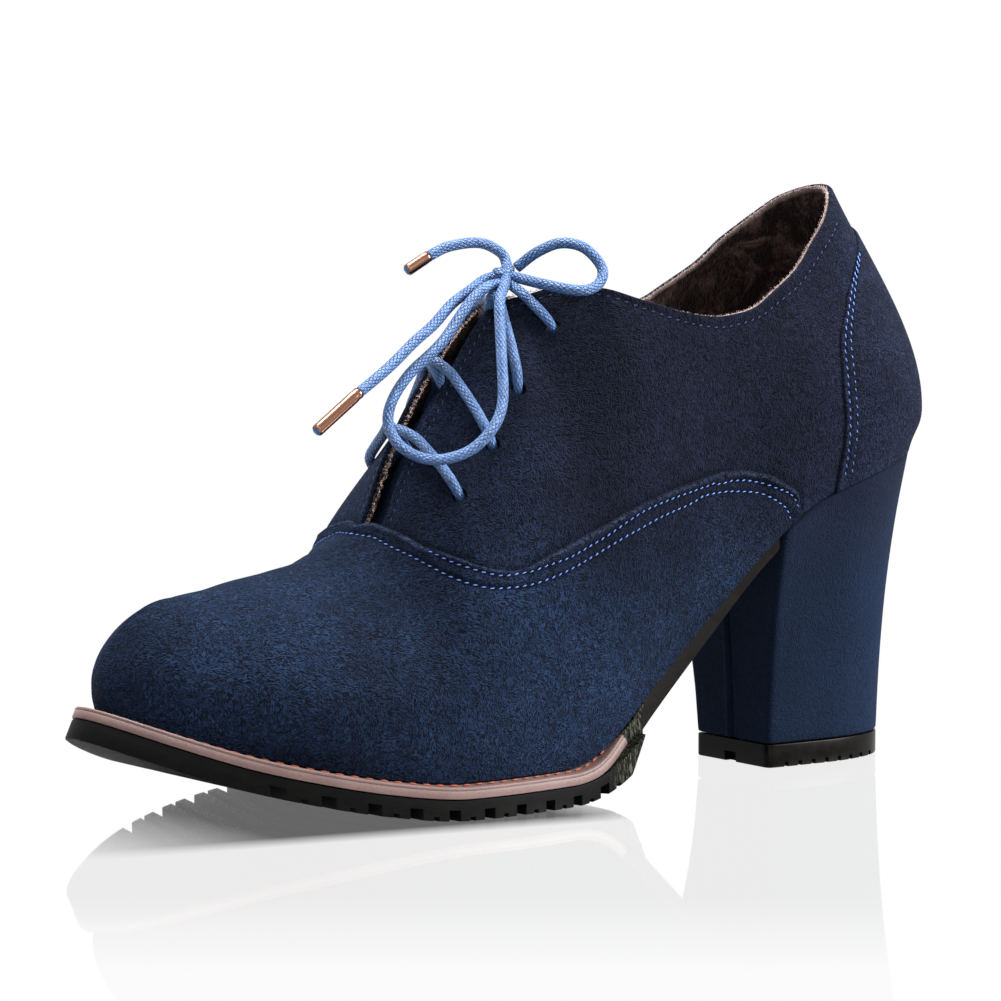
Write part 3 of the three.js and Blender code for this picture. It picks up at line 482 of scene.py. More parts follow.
def curve(xs, ys):
    """A smooth curve through a table that never overshoots its rows."""
    xs, ys = np.asarray(xs, float), np.asarray(ys, float)
    width = np.diff(xs)
    rate = np.diff(ys) / width
    slope = np.empty_like(ys)
    middle = (rate[:-1] * width[1:] + rate[1:] * width[:-1]) / (width[:-1] + width[1:])
    least = np.minimum(np.minimum(abs(rate[:-1]), abs(rate[1:])), abs(middle) / 2)
    slope[1:-1] = (np.sign(rate[:-1]) + np.sign(rate[1:])) * least
    slope[0], slope[-1] = rate[0], rate[-1]

    def at(x):
        x = np.asarray(x, float)
        i = np.clip(np.searchsorted(xs, x, side="right") - 1, 0, len(xs) - 2)
        t = np.clip((x - xs[i]) / width[i], 0, 1)
        return ((2 * t**3 - 3 * t**2 + 1) * ys[i] + (t**3 - 2 * t**2 + t) * width[i] * slope[i]
                + (3 * t**2 - 2 * t**3) * ys[i + 1] + (t**3 - t**2) * width[i] * slope[i + 1])
    return at


rise_curve, spring_curve = curve(RISE[:, 0], RISE[:, 1]), curve(RISE[:, 0], RISE[:, 2])


def feather_height(x):
    """Height of the line where the upper meets the sole."""
    return STACK + HEEL_RISE * rise_curve(x / LAST_LENGTH) + TOE_SPRING * spring_curve(x / LAST_LENGTH)


mirror = np.ones(10)
mirror[[1, 3]] = -1
extended = np.vstack([SECTIONS[2] * mirror, SECTIONS[1] * mirror, SECTIONS,
                      SECTIONS[-2] * mirror, SECTIONS[-3] * mirror])
run = np.concatenate([[0], np.cumsum(np.hypot(np.diff(extended[:, 0]) / 100 * LAST_LENGTH,
                                              np.diff(extended[:, 1]) / 200 * BALL_WIDTH))])
keys = (run - run[2]) / (run[-3] - run[2])
columns = [curve(keys, extended[:, k]) for k in range(10)]
THROAT = keys[THROAT_SECTION + 2]


def row(u):
    """One row of the sections in millimetres and radians."""
    values = [column(u) for column in columns]
    lengths = [values[0] / 100 * LAST_LENGTH, values[2] / 100 * LAST_LENGTH]
    widths = [values[k] / 200 * BALL_WIDTH for k in (1, 3, 5)]
    heights = [values[k] / 100 * UPPER_HEIGHT for k in (4, 6)]
    return (*lengths, *widths, *heights, np.radians(values[7]), values[8] / 100, values[9] / 100)


def bezier(a, b, c, d, t):
    return (1 - t)**3 * a + 3 * (1 - t)**2 * t * b + 3 * (1 - t) * t * t * c + t**3 * d


def outline(u, v):
    """A point of the outline on the outer side: u from toe to heel, v from sole to top edge."""
    u, v = np.broadcast_arrays(np.asarray(u, float), np.asarray(v, float))
    foot_x, top_x, foot_y, top_y, bulge, top_up, bulge_up, fall, side_full, top_full = row(u)
    top_y = np.where(u <= THROAT + 1e-9, 0, top_y)
    foot_z = feather_height(foot_x)
    top_z = foot_z + top_up
    reach = np.hypot(foot_x - top_x, foot_y - top_y)
    across_x, across_y = (foot_x - top_x) / reach, (foot_y - top_y) / reach
    out, bulge_z = reach + bulge, foot_z + bulge_up
    t = np.clip(v / BULGE_SHARE, 0, 1)
    r_low = bezier(reach, reach + math.sin(FEATHER_LEAN) * bulge_up / 2, out, out, t)
    z_low = bezier(foot_z, foot_z + math.cos(FEATHER_LEAN) * bulge_up / 2, bulge_z - 0.45 * bulge_up,
                   bulge_z, t)
    t = np.clip((v - BULGE_SHARE) / (1 - BULGE_SHARE), 0, 1)
    step = 0.002
    before, after = row(u - step), row(u + step)
    rise = (feather_height(after[0]) + after[5]) - (feather_height(before[0]) + before[5])
    ridge = rise / np.minimum(after[1] - before[1], -0.001)
    slope = -np.tan(fall) + ridge * across_x * np.clip(1 - top_y / 3, 0, 1)
    span = top_full * np.hypot(out, top_z - bulge_z) / np.hypot(1, slope)
    r_high = bezier(out, out, span, 0, t)
    z_high = bezier(bulge_z, bulge_z + side_full * (top_z - bulge_z), top_z + slope * span, top_z, t)
    r, z = np.where(v < BULGE_SHARE, r_low, r_high), np.where(v < BULGE_SHARE, z_low, z_high)
    return np.stack([top_x + across_x * r, top_y + across_y * r, z], -1)


def smoothstep(x, low, high):
    t = np.clip((x - low) / (high - low), 0, 1)
    return t * t * (3 - 2 * t)


def swing(x):
    """How far the toe turns to the inner side."""
    return -TOE_SWING * np.clip((x / LAST_LENGTH - 0.49) / 0.54, 0, None) ** 2


def bend(p):
    """The toe's swing, and the inner facing's drop at the throat."""
    at_throat = smoothstep(p[..., 2] / UPPER_HEIGHT, 0.7, 1.35)
    at_throat = at_throat * smoothstep(p[..., 0] / LAST_LENGTH, 0.38, 0.5)
    shift = THROAT_SKEW * at_throat * np.minimum(p[..., 1], 0) / (1 + abs(p[..., 1]) / 8)
    return np.stack([p[..., 0] + shift, p[..., 1] + swing(p[..., 0]), p[..., 2] + shift], -1)


def wall(u, v, side=1, offset=0.0):
    """A point of the wall on one side, at an offset outward from the outline."""
    u, v, side, offset = np.broadcast_arrays(*(np.asarray(a, float) for a in (u, v, side, offset)))
    step = 0.004
    along = outline(u + step, v) - outline(u - step, v)
    up = outline(u, np.minimum(1, v + step)) - outline(u, np.maximum(0, v - step))
    normal = np.cross(along, up)
    centre = outline(u, v)
    normal[..., 1] = np.where(abs(centre[..., 1]) < 1e-6, 0, normal[..., 1])
    normal /= np.linalg.norm(normal, axis=-1)[..., None]
    p = centre + normal * offset[..., None]
    p[..., 1] *= side
    return bend(p)


# Upper
# Suede quarters, stitched round a vamp and a back strip that lap over them. The quarters are
# one closed shell with a rolled edge round the collar and the throat, punched for the lace.
# the suede's colours in its darker and lighter clouds, each as its grey navy and its bluer one
GROUND = ((rgb(4, 5, 10), rgb(4, 7, 13)), (rgb(9, 11, 18), rgb(9, 14, 24)))
NAP = ((rgb(18, 21, 35), rgb(17, 27, 45)), (rgb(32, 39, 60), rgb(35, 53, 83)))
# painted shade for the grooves beside edges and stitch rows; lighter fuzz with a painted highlight for
# rolled edges
PAINTED_GROOVE_SHADE, EDGE_FUZZ_AND_HIGHLIGHT, SUEDE_SHEEN = rgb(3, 5, 12), rgb(70, 80, 108), rgb(130, 160, 225)


def suede(name, grain=1.0, depth=1.0, overall_shade=0.0):
    """Brushed suede: short wavy ridges, soft clouds, a lighter blue at the toe and below, and painted light
    and shade.
    """
    shader = Shader(name, roughness=0.95, specular_ior_level=0.06, sheen_weight=0.05, sheen_roughness=0.4)
    shader.base.inputs["Sheen Tint"].default_value = (*SUEDE_SHEEN, 1)
    curl = shader.noise(0.95, 1, (1.5, 1.5, 0.75), 1.8)
    comb = shader.noise(0.80, 1, (0.8, 0.8, 1.6), 1.5)
    fine = shader.noise(0.42, 1, (1.6, 1.6, 1.0), 0.8)
    cloud, broad = shader.noise(16, 3, distortion=0.6), shader.noise(42, 1, distortion=0.3)
    over = shader.noise(7, 1).step(0.42, 0.58)
    fibre = ((curl * (1 - over) + comb * over - 0.5) * 4.0 + 0.5).clamp()
    x, z = shader.axis(shader.place, "X"), shader.axis(shader.place, "Z")
    dx, dz = (x + 8) / 62, (z - 98) / 52
    # painted shade over the quarters' middle, and painted light on the counter at the back
    painted_light_and_shade = (1 - dx * dx - dz * dz).clamp() - (1 - x.step(-112, -72)) * 0.9
    blue = x.step(-10, 55).max(1 - z.step(45, 75))
    tone = ((cloud - 0.5) * 1.3 * grain + (broad - 0.5) * 1.3 * grain + 0.5 - painted_light_and_shade * 0.35).clamp()
    ground, raised = (shader.mix(tone, *(shader.mix(blue, *pair) for pair in clouds))
                      for clouds in (GROUND, NAP))
    # UV X is the painted shade in grooves, UV Y the nearness to an overlay's edge
    groove_shade, edge = (shader.axis(shader.uv, letter) for letter in "XY")
    # lighter fuzz and a painted highlight along the overlays' rolled edges
    wear_and_highlight = shader.mix(edge.clamp() * 0.4, raised, EDGE_FUZZ_AND_HIGHLIGHT)
    nap = shader.mix(((fibre - 0.5) * grain + (fine - 0.5) * 0.6 * grain + 0.5).clamp(), ground, wear_and_highlight)
    # painted shade: darker in grooves, and darker all over on the heel
    shader.color(shader.mix((groove_shade + overall_shade).clamp(), nap, PAINTED_GROOVE_SHADE))
    shader.bump(fibre + fine * 0.4, 0.5 * depth)
    return shader.material


SUEDE = suede("navy suede")
# the heel's suede is darkened all over with painted shade, and its nap is fainter
HEEL_SUEDE = suede("heel suede", 0.3, 0.25, 0.3)


def grid_faces(n, m, flip=False):
    i, j = np.meshgrid(np.arange(n - 1), np.arange(m - 1), indexing="ij")
    a = i * m + j
    corners = (a, a + m, a + m + 1, a + 1) if flip else (a, a + 1, a + m + 1, a + m)
    return [tuple(face) for face in np.stack(corners, -1).reshape(-1, 4).tolist()]


def grid(points, flip=False, groove_shade=None, edge=None):
    """A sheet of quads. Its UV carries the painted shade in grooves, and the nearness to an edge for its
    painted highlight.
    """
    faces = grid_faces(*points.shape[:2], flip)
    if groove_shade is None:
        return points.reshape(-1, 3), faces
    marks = np.stack([groove_shade, np.zeros_like(groove_shade) if edge is None else edge], -1).reshape(-1, 2).tolist()
    return points.reshape(-1, 3), faces, [[marks[i] for i in face] for face in faces]


def near(points, line):
    """Distance from each point to a line of points."""
    flat = points.reshape(-1, 3)
    nearest = np.full(len(flat), 1e9)
    for start in range(0, len(line), 40):
        gap = np.linalg.norm(flat[:, None] - line[None, start:start + 40], axis=2).min(axis=1)
        nearest = np.minimum(nearest, gap)
    return nearest.reshape(points.shape[:-1])


def on_wall(places, side, offset=0.0, spacing=0.35):
    """Points close together on the wall, along a line of places."""
    p = np.asarray(places, float)
    steps = run_along(wall(p[:, 0], p[:, 1], side))
    even = np.linspace(0, steps[-1], int(steps[-1] / spacing) + 2)
    return wall(curve(steps, p[:, 0])(even), curve(steps, p[:, 1])(even), side, offset)


def weld(obj, distance=0.02):
    """Joins vertices that lie on each other and turns all faces outwards."""
    mesh = bmesh.new()
    mesh.from_mesh(obj.data)
    bmesh.ops.remove_doubles(mesh, verts=mesh.verts, dist=distance / 1000)
    bmesh.ops.recalc_face_normals(mesh, faces=mesh.faces)
    if any(edge.is_boundary for edge in mesh.edges):
        middle = sum((v.co for v in mesh.verts), Vector()) / len(mesh.verts)
        if sum(f.normal.dot(f.calc_center_median() - middle) for f in mesh.faces) < 0:
            bmesh.ops.reverse_faces(mesh, faces=mesh.faces)
    mesh.to_mesh(obj.data)
    mesh.free()


def punch(obj, cutters, sharp=0.6):
    """Cuts the cutters' solids out of a closed piece."""
    tool = bpy.data.objects.new("cutter", bpy.data.meshes.new("cutter"))
    vertices, faces = [], []
    for points, part_faces in cutters:
        faces += [tuple(len(vertices) + i for i in face) for face in part_faces]
        vertices += metres(points).tolist()
    tool.data.from_pydata(vertices, [], faces)
    bpy.context.scene.collection.objects.link(tool)
    weld(tool, 0.001)
    cut = obj.modifiers.new("cut", "BOOLEAN")
    cut.operation, cut.solver, cut.object = "DIFFERENCE", "EXACT", tool
    settle(obj)
    bpy.data.objects.remove(tool)
    obj.data.set_sharp_from_angle(angle=sharp)


def settle(obj):
    """Turns what the modifiers make into the piece's own plain mesh."""
    result = bpy.data.meshes.new_from_object(obj.evaluated_get(bpy.context.evaluated_depsgraph_get()))
    obj.modifiers.clear()
    obj.data = result


# rows of stitches, as places on the wall: along the feather line, up the wall
VAMP_LOWER_ROW = [
    (0.303, 1.0), (0.305, 0.95), (0.309, 0.90), (0.314, 0.81), (0.322, 0.72), (0.328, 0.66), (0.334, 0.61),
    (0.343, 0.553), (0.354, 0.507), (0.367, 0.465), (0.384, 0.433), (0.400, 0.411), (0.417, 0.392),
    (0.436, 0.377), (0.457, 0.368), (0.477, 0.363), (0.497, 0.357), (0.517, 0.343), (0.538, 0.321),
    (0.560, 0.292), (0.579, 0.264), (0.597, 0.236), (0.609, 0.220), (0.617, 0.2135), (0.633, 0.198),
    (0.650, 0.181), (0.666, 0.164), (0.680, 0.145), (0.696, 0.116), (0.717, 0.071), (0.727, 0.048),
    (0.738, 0.016),
]
VAMP_UPPER_ROW = [
    (0.334, 0.67), (0.343, 0.603), (0.354, 0.549), (0.367, 0.50), (0.380, 0.466), (0.396, 0.442),
    (0.410, 0.424), (0.424, 0.411), (0.436, 0.401), (0.448, 0.393), (0.466, 0.387), (0.486, 0.383),
    (0.504, 0.377), (0.522, 0.368), (0.539, 0.355), (0.559, 0.329), (0.585, 0.293), (0.605, 0.258),
    (0.625, 0.2165), (0.646, 0.199), (0.668, 0.179), (0.681, 0.162), (0.706, 0.120), (0.720, 0.093),
    (0.732, 0.065), (0.744, 0.030),
]
STRIP_ROW = [
    (0.894, 0.81), (0.853, 0.76), (0.826, 0.683), (0.806, 0.59), (0.799, 0.533), (0.793, 0.417),
    (0.790, 0.293), (0.791, 0.20), (0.794, 0.123), (0.801, 0.037),
]
STRIP_ROW_STEP = 0.0085
TOPLINE_ROW = [
    (0.531, 0.983), (0.553, 0.977), (0.585, 0.967), (0.624, 0.953), (0.664, 0.945), (0.702, 0.945),
    (0.734, 0.940), (0.765, 0.935), (0.803, 0.940), (0.850, 0.945), (0.890, 0.95),
]
# the outer facing stops a little short of the middle, its edge in places up the wall
GAP_START, FACING_ROW_IN = 0.272, 0.027
FACING_EDGE = [
    (0, 1), (GAP_START, 1), (0.300, 0.930), (0.322, 0.894), (0.336, 0.902), (0.364, 0.914),
    (0.388, 0.926), (0.400, 0.936), (0.415, 0.945), (0.438, 0.962), (0.460, 0.975), (0.500, 0.986),
    (0.530, 0.992), (0.560, 1), (1, 1),
]
QUARTER_DEPTH = 1.3             # thickness of the suede, the lining lies inside it
PUNCH_REACH = 3.0
SIDES = (1, -1)

stations = np.unique(np.concatenate([
    np.linspace(0, 1, 180), np.linspace(0.27, 0.44, 80), np.linspace(0.70, 0.83, 40), [GAP_START, THROAT]]))
heights = np.unique(np.concatenate([np.linspace(0, 1, 66), np.linspace(0.9, 1, 14)]))
facing_edge = curve([u for u, _ in FACING_EDGE], [v for _, v in FACING_EDGE])


def top_edge(u, side):
    """Where the quarter ends, up the wall: short of the middle at the outer facing."""
    return facing_edge(u) if side > 0 else np.ones_like(u)


def shell(side, rows, inner_rows, outer, inner, lift):
    """Grids of one half of a closed wall: outer and inner skin, rounded top edge and rim below."""
    top = top_edge(stations, side)[:, None]
    out = outer(np.repeat(stations[:, None], len(rows), 1), top * rows, side)
    back = inner(np.repeat(stations[:, None], len(inner_rows), 1), top * inner_rows, side)
    on_edge = stations >= GAP_START - 1e-9
    top, low = out[on_edge][:, -1], back[on_edge][:, -1]
    up = top - out[on_edge][:, -3]
    up[0, 1] = 0
    up /= np.linalg.norm(up, axis=-1)[:, None]
    base = wall(np.repeat(stations[:, None], len(rows), 1), top_edge(stations, side)[:, None] * rows, side)
    # painted shade beside the vamp's edge and along the stitch rows, carried in the UV
    groove_shade = 0.85 * hill(near(base, vamp_lines[side]), 1.0)
    groove_shade = groove_shade + sum(0.45 * hill(near(base, line), 0.5) for line in seam_lines[side])
    rim = [top]
    for angle in np.linspace(0, math.pi, 7)[1:-1]:
        share = (1 - math.cos(angle)) / 2
        rim.append(top * (1 - share) + low * share + up * lift * math.sin(angle))
    rim = np.stack([*rim, low], axis=1)
    foot = np.stack([out[:, 0], back[:, 0]], axis=1)
    return [grid(out, side > 0, groove_shade), grid(back, side < 0), grid(rim, side > 0), grid(foot, side < 0)]


def eyelet(hole, side, share=0.0):
    """Where an eyelet is, and the lace's way from it to the edge of its facing."""
    u, v, meet = hole
    t = share if side > 0 else INNER_EYELETS + (1 - INNER_EYELETS) * share
    return u + (meet - u) * t, v + (1 - v) * t


def punches():
    """Cutters for the eyelets, through the whole wall."""
    tools = []
    for side in SIDES:
        for hole in EYELETS:
            u, v = eyelet(hole, side)
            path = np.array([wall(u, v, side, PUNCH_REACH), wall(u, v, side, -WALL - PUNCH_REACH)])
            tools.append(tube(smooth_path(path, 2.0), EYELET_BORE, 20)[:2])
    return tools


def facing_row(side):
    """Places of the stitches beside a facing's edge."""
    us = np.linspace(0.325, 0.531, 40)
    return np.column_stack([us, top_edge(us, side) - FACING_ROW_IN * (1 - 0.4 * smoothstep(us, 0.42, 0.53))])


vamp_height = curve(VAMP_EDGE[:, 0], VAMP_EDGE[:, 1])
vamp_us = np.concatenate([np.linspace(0.312, 0.36, 200), np.linspace(0.361, 0.751, 300)])
vamp_line = np.column_stack([vamp_us, vamp_height(vamp_us)])
vamp_lines = {side: on_wall(vamp_line, side, spacing=0.8) for side in SIDES}
seam_lines = {side: [on_wall(line, side, spacing=0.8) for line in (TOPLINE_ROW, facing_row(side))]
              for side in SIDES}


def quarter_outside(u, v, side):
    """The quarters dip under their stitches and beside the vamp's edge."""
    base = wall(u, v, side)
    dip = sum(depth * hill(near(base, line), width)
              for line, depth, width in zip(seam_lines[side], (0.28, 0.22), (0.9, 0.8)))
    dip = dip + 0.4 * hill(near(base, vamp_lines[side]), 1.1)
    return wall(u, v, side, -SKIN - dip)


def quarter_inside(u, v, side):
    return wall(u, v, side, -SKIN - QUARTER_DEPTH)


parts = []
for side in SIDES:
    parts += shell(side, heights, np.linspace(0, 1, 12), quarter_outside, quarter_inside, 0.45)
quarters = piece("quarters", parts, SUEDE, ["upper"])
weld(quarters)
punch(quarters, punches())

TUCK = 0.35                     # how far an overlay's edge goes under the quarter's skin


def rolled(gap, radius=0.8):
    """The share of its full height that an overlay has at a gap from its edge."""
    return np.sqrt(np.clip(1 - (1 - np.clip(gap / radius, 0, 1)) ** 2, 0, 1))


def vamp_skin(side):
    """One half of the vamp: its points, painted shade in grooves, painted highlight by the edge, and its
    stations.
    """
    us = np.unique(np.concatenate([
        np.linspace(0, VAMP_EDGE[-1, 0], 150), np.linspace(0.304, 0.42, 130), [VAMP_EDGE[0, 0]]]))
    share = np.concatenate([np.linspace(0, 0.88, 40), 1 - 0.12 * np.linspace(1, 0, 20)[1:] ** 1.6])
    top = np.where(us <= VAMP_EDGE[0, 0], 1.0, vamp_height(us))
    u = np.repeat(us[:, None], len(share), 1)
    v = top[:, None] * share[None]
    base = wall(u, v, side)
    gap = near(base, on_wall(vamp_line, side))
    full = rolled(gap)
    seam = sum(hill(near(base, on_wall(r, side)), 0.7) for r in (VAMP_LOWER_ROW, VAMP_UPPER_ROW))
    puff = 0.4 * hill(gap - 1.2, 0.8)
    skin = wall(u, v, side, -SKIN - TUCK + (OVERLAY + TUCK + puff) * full - 0.5 * seam * full)
    # painted shade along the stitch rows and at the edge; painted highlight just inside the edge
    return skin, 0.8 * seam + 0.6 * hill(gap, 0.35), hill(gap - 0.8, 0.45), us


skins = [vamp_skin(side) for side in SIDES]
met = skins[0][3] <= VAMP_EDGE[0, 0]
middle = (skins[0][0][met, -1] + skins[1][0][met, -1]) / 2
for skin, *_ in skins:
    skin[met, -1] = middle
halves = [grid(skin, side > 0, groove_shade, edge) for side, (skin, groove_shade, edge, _) in zip(SIDES, skins)]
vamp = piece("vamp", halves, SUEDE, ["upper"])
weld(vamp)

strip_edge = curve(STRIP_EDGE[:, 0], STRIP_EDGE[:, 1])


def strip_skin():
    """The back strip as one sheet across the heel, from edge to edge."""
    vs = np.concatenate([np.linspace(0, 0.78, 50), np.linspace(0.79, 0.868, 24)])
    share = np.concatenate([-(1 - 0.06 * np.linspace(0, 1, 9)[:-1] ** 1.6), np.linspace(-0.94, 0.94, 90),
                            (1 - 0.06 * np.linspace(0, 1, 9)[:-1] ** 1.6)[::-1]])
    v, s = np.meshgrid(vs, share, indexing="ij")
    u = 1 + (strip_edge(v) - 1) * abs(s)
    side = np.where(s < 0, 1.0, -1.0)
    base = wall(u, v, side)
    gap, seam = np.full(v.shape, 1e9), np.zeros(v.shape)
    for one in SIDES:
        here = side == one
        level = np.linspace(0, 0.868, 300)
        gap[here] = near(base[here], on_wall(np.column_stack([strip_edge(level), level]), one))
        for back in (0, STRIP_ROW_STEP):
            line = [(a + back, b) for a, b in STRIP_ROW]
            seam[here] += hill(near(base[here], on_wall(line, one)), 0.6)
    full = rolled(gap)
    skin = wall(u, v, side, -SKIN - TUCK + (OVERLAY + TUCK) * full - 0.35 * seam * full)
    # painted shade along the stitch rows and at the edge; painted highlight just inside the edge
    return grid(skin, False, 0.7 * seam + 0.5 * hill(gap, 0.35), 0.5 * hill(gap - 0.8, 0.45))


strip = piece("back_strip", [strip_skin()], SUEDE, ["upper"])
weld(strip)

# Lining
# Short plush, dark brown with paler tufts, bonded inside the quarters. Its raw edge shows as
# a pale rim along the collar, and single fibres stand up from it.
PLUSH_DARK, PLUSH_LIGHT, PLUSH_RIM = rgb(16, 10, 10), rgb(96, 76, 72), rgb(150, 132, 128)


def plush(name):
    """Brushed pile with paler tufts, painted shade toward the throat, and a raw rim along the collar."""
    shader = Shader(name, roughness=1.0, specular_ior_level=0.05, sheen_weight=0.25, sheen_roughness=0.5)
    shader.base.inputs["Sheen Tint"].default_value = (*rgb(200, 170, 165), 1)
    tuft = shader.noise(9, 3, distortion=1.0, roughness=0.6)
    pile = shader.noise(0.7, 2, (1, 1, 2.6), 1.0)
    x = shader.axis(shader.place, "X")
    # painted shade: toward the throat the pile loses its paler tufts and the pale rim is left off
    fac = ((tuft - 0.55) * 3.6 + (pile - 0.5) * 1.3 + 0.2).clamp() * (1 - x.step(-8, 6) * 0.95)
    rim = shader.axis(shader.uv, "Y").step(0.985, 1.0) * (1 - x.step(-12, -2))
    soft = shader.mix(fac, PLUSH_DARK, PLUSH_LIGHT)
    shader.color(shader.mix(rim * (tuft * 1.4).clamp(), soft, PLUSH_RIM))
    shader.bump(tuft * 2 + pile, 0.9)
    return shader.material


PLUSH = plush("plush")
FIBRE = Shader("plush fibre", base_color=(*rgb(190, 165, 158), 1), roughness=1.0,
               specular_ior_level=0.05).material


def ripple(points, size, depth, seed=0.0):
    """A soft unevenness, from a few crossing waves of about that size."""
    x, y, z = (points[..., k] / size + seed for k in range(3))
    slow = np.sin(2.1 * x + 1.3 * z) * np.sin(1.7 * z - 1.1 * y)
    return depth * (slow + 0.6 * np.sin(3.7 * x - 2.9 * z + y))


def lining_outside(u, v, side):
    return wall(u, v, side, -SKIN - QUARTER_DEPTH - 0.02)


def lining_inside(u, v, side):
    base = wall(u, v, side)
    return wall(u, v, side, -SKIN - WALL + ripple(base, 2.4, 0.12))


lining_heights = np.unique(np.concatenate([np.linspace(0, 1, 40), [0.985, 0.99, 0.995]]))
parts = []
for side in SIDES:
    halves = shell(side, np.linspace(0, 1, 20), lining_heights, lining_outside, lining_inside, 0.55)
    marks = [np.linspace(0, 1, 20), lining_heights, np.ones(7), np.zeros(2)]
    for (points, faces, *_), up in zip(halves, marks):
        mark = np.tile(up, len(points) // len(up))
        parts.append((points, faces, [[(0, mark[i]) for i in face] for face in faces]))
lining = piece("lining", parts, PLUSH, ["upper"])
weld(lining)
punch(lining, punches())


class Nodes:
    """Builds a Geometry Nodes tree with named inputs and hangs it on an object."""
    def __init__(self, name, **inputs):
        self.tree = bpy.data.node_groups.new(name, "GeometryNodeTree")
        self.sockets = {}
        add = self.tree.interface.new_socket
        add("Geometry", in_out="INPUT", socket_type="NodeSocketGeometry")
        for key, value in inputs.items():
            kind = "NodeSocketInt" if isinstance(value, int) else "NodeSocketFloat"
            self.sockets[key] = add(key.replace("_", " ").title(), in_out="INPUT", socket_type=kind)
        add("Geometry", in_out="OUTPUT", socket_type="NodeSocketGeometry")
        self.inputs = inputs
        self.source = self.tree.nodes.new("NodeGroupInput")

    def get(self, key="Geometry"):
        return self.source.outputs[key.replace("_", " ").title()]

    def node(self, kind, settings=None, **values):
        node = self.tree.nodes.new(kind)
        for key, value in (settings or {}).items():
            setattr(node, key, value)
        for key, value in values.items():
            slot = node.inputs[int(key[3:]) if key.startswith("in_") else key.replace("_", " ")]
            if isinstance(value, bpy.types.NodeSocket):
                self.tree.links.new(value, slot)
            else:
                slot.default_value = value
        return node

    def finish(self, socket, material):
        real = self.node("GeometryNodeRealizeInstances", Geometry=socket)
        soft = self.node("GeometryNodeSetShadeSmooth", Geometry=real.outputs[0])
        self.painted = self.node("GeometryNodeSetMaterial", Geometry=soft.outputs[0], Material=material)
        self.tree.links.new(self.painted.outputs[0], self.tree.nodes.new("NodeGroupOutput").inputs[0])

    def apply(self, obj, **changes):
        modifier = obj.modifiers.new(self.tree.name, "NODES")
        modifier.node_group = self.tree
        for key, value in {**self.inputs, **changes}.items():
            modifier[self.sockets[key].identifier] = value
        settle(obj)


# fibres: cones on the plush edge, spread over its faces with a fixed seed
fibres = Nodes("fibres", density=1.0, length=0.001, thickness=0.0001, seed=3)
spread = fibres.node("GeometryNodeDistributePointsOnFaces", Mesh=fibres.get(),
                     Density=fibres.get("density"), Seed=fibres.get("seed"))
hair = fibres.node("GeometryNodeMeshCone", {"fill_type": "NONE"}, Vertices=3, Side_Segments=1,
                   Radius_Top=0.0, Radius_Bottom=fibres.get("thickness"), Depth=fibres.get("length"))
lean = fibres.node("FunctionNodeRandomValue", {"data_type": "FLOAT_VECTOR"}, in_0=(-0.9, -0.9, -0.9),
                   in_1=(0.9, 0.9, 0.9), Seed=fibres.get("seed"))
way = fibres.node("ShaderNodeVectorMath", {"operation": "ADD"}, in_0=spread.outputs["Normal"],
                  in_1=lean.outputs[0])
turned = fibres.node("FunctionNodeAlignRotationToVector", {"axis": "Z"}, Vector=way.outputs[0])
grown = fibres.node("GeometryNodeInstanceOnPoints", Points=spread.outputs["Points"],
                    Instance=hair.outputs["Mesh"], Rotation=turned.outputs[0])
fibres.finish(grown.outputs[0], FIBRE)

edge_parts = []
for side in SIDES:
    us = np.linspace(THROAT + 0.02, 1, 160)
    edge = np.stack([wall(us, 1.0, side, -SKIN - QUARTER_DEPTH), wall(us, 1.0, side, -SKIN - WALL)], axis=1)
    edge_parts.append(grid(edge, side > 0))
pile = piece("collar_pile", edge_parts, FIBRE, ["upper"])
fibres.apply(pile, density=9.0e6, length=0.0011, thickness=0.00006)

# Insole
# A plush sock glued to a board, laid inside the wall over the whole sole. Its edge is
# rounded down to the lining.


def x_at(u):
    """How far from the heel's end a place along the feather line lies."""
    return columns[0](u) / 100 * LAST_LENGTH


def feather(u, grow):
    """Plan of the feather line, moved outward by some millimetres."""
    step = 0.001
    at = [np.stack([x_at(t), columns[1](t) / 200 * BALL_WIDTH], -1) for t in (u - step, u + step, u)]
    along = at[1] - at[0]
    along /= np.linalg.norm(along, axis=-1)[..., None]
    return at[2] + np.stack([along[..., 1], -along[..., 0]], -1) * np.asarray(grow)[..., None]


def below(x, y, depth):
    """A place at some depth below the feather line, square to the sole's own slope."""
    slope = (feather_height(x + 0.5) - feather_height(x - 0.5))
    down = depth / np.hypot(1, slope)
    return np.stack([x + slope * down, y + swing(x), feather_height(x) - down], -1)


def place_at(x):
    """The place along the feather line that lies at x."""
    us = np.linspace(0, 1, 4001)
    return float(us[np.argmin(abs(x_at(us) - x))])


def level(us, grow, depth):
    """One closed ring round the sole, its two sides facing each other in turn."""
    edge = feather(us, np.broadcast_to(np.asarray(grow, float), us.shape))
    outer, inner = (below(edge[:, 0], sign * edge[:, 1], depth) for sign in SIDES)
    return np.vstack([outer, inner[::-1]])


def solid(sections):
    """A closed mesh through rings. The end faces run from side to side."""
    count, n = len(sections), len(sections[0])
    points = np.vstack(sections)
    faces = bands(count, n)
    for base in (0, (count - 1) * n):
        faces += [(base + k, base + k + 1, base + n - 2 - k, base + n - 1 - k) for k in range(n // 2 - 1)]
    return points, faces


sock_us = np.linspace(0, 1, 110)
sock_grow = -WALL - SKIN - 2 * CLEARANCE
SOCK_PROFILE = ((0.4, 0), (0, 0.4), (0, 1.5), (0.3, 1.9), (1.0, 2.1), (3, 2.15), (7, 2.1), (12, 2.1))
sock = [level(sock_us, sock_grow - inset, -CLEARANCE - depth) for inset, depth in SOCK_PROFILE]
insole = piece("insole_sock", [solid(sock)], PLUSH, ["insole"])
weld(insole)

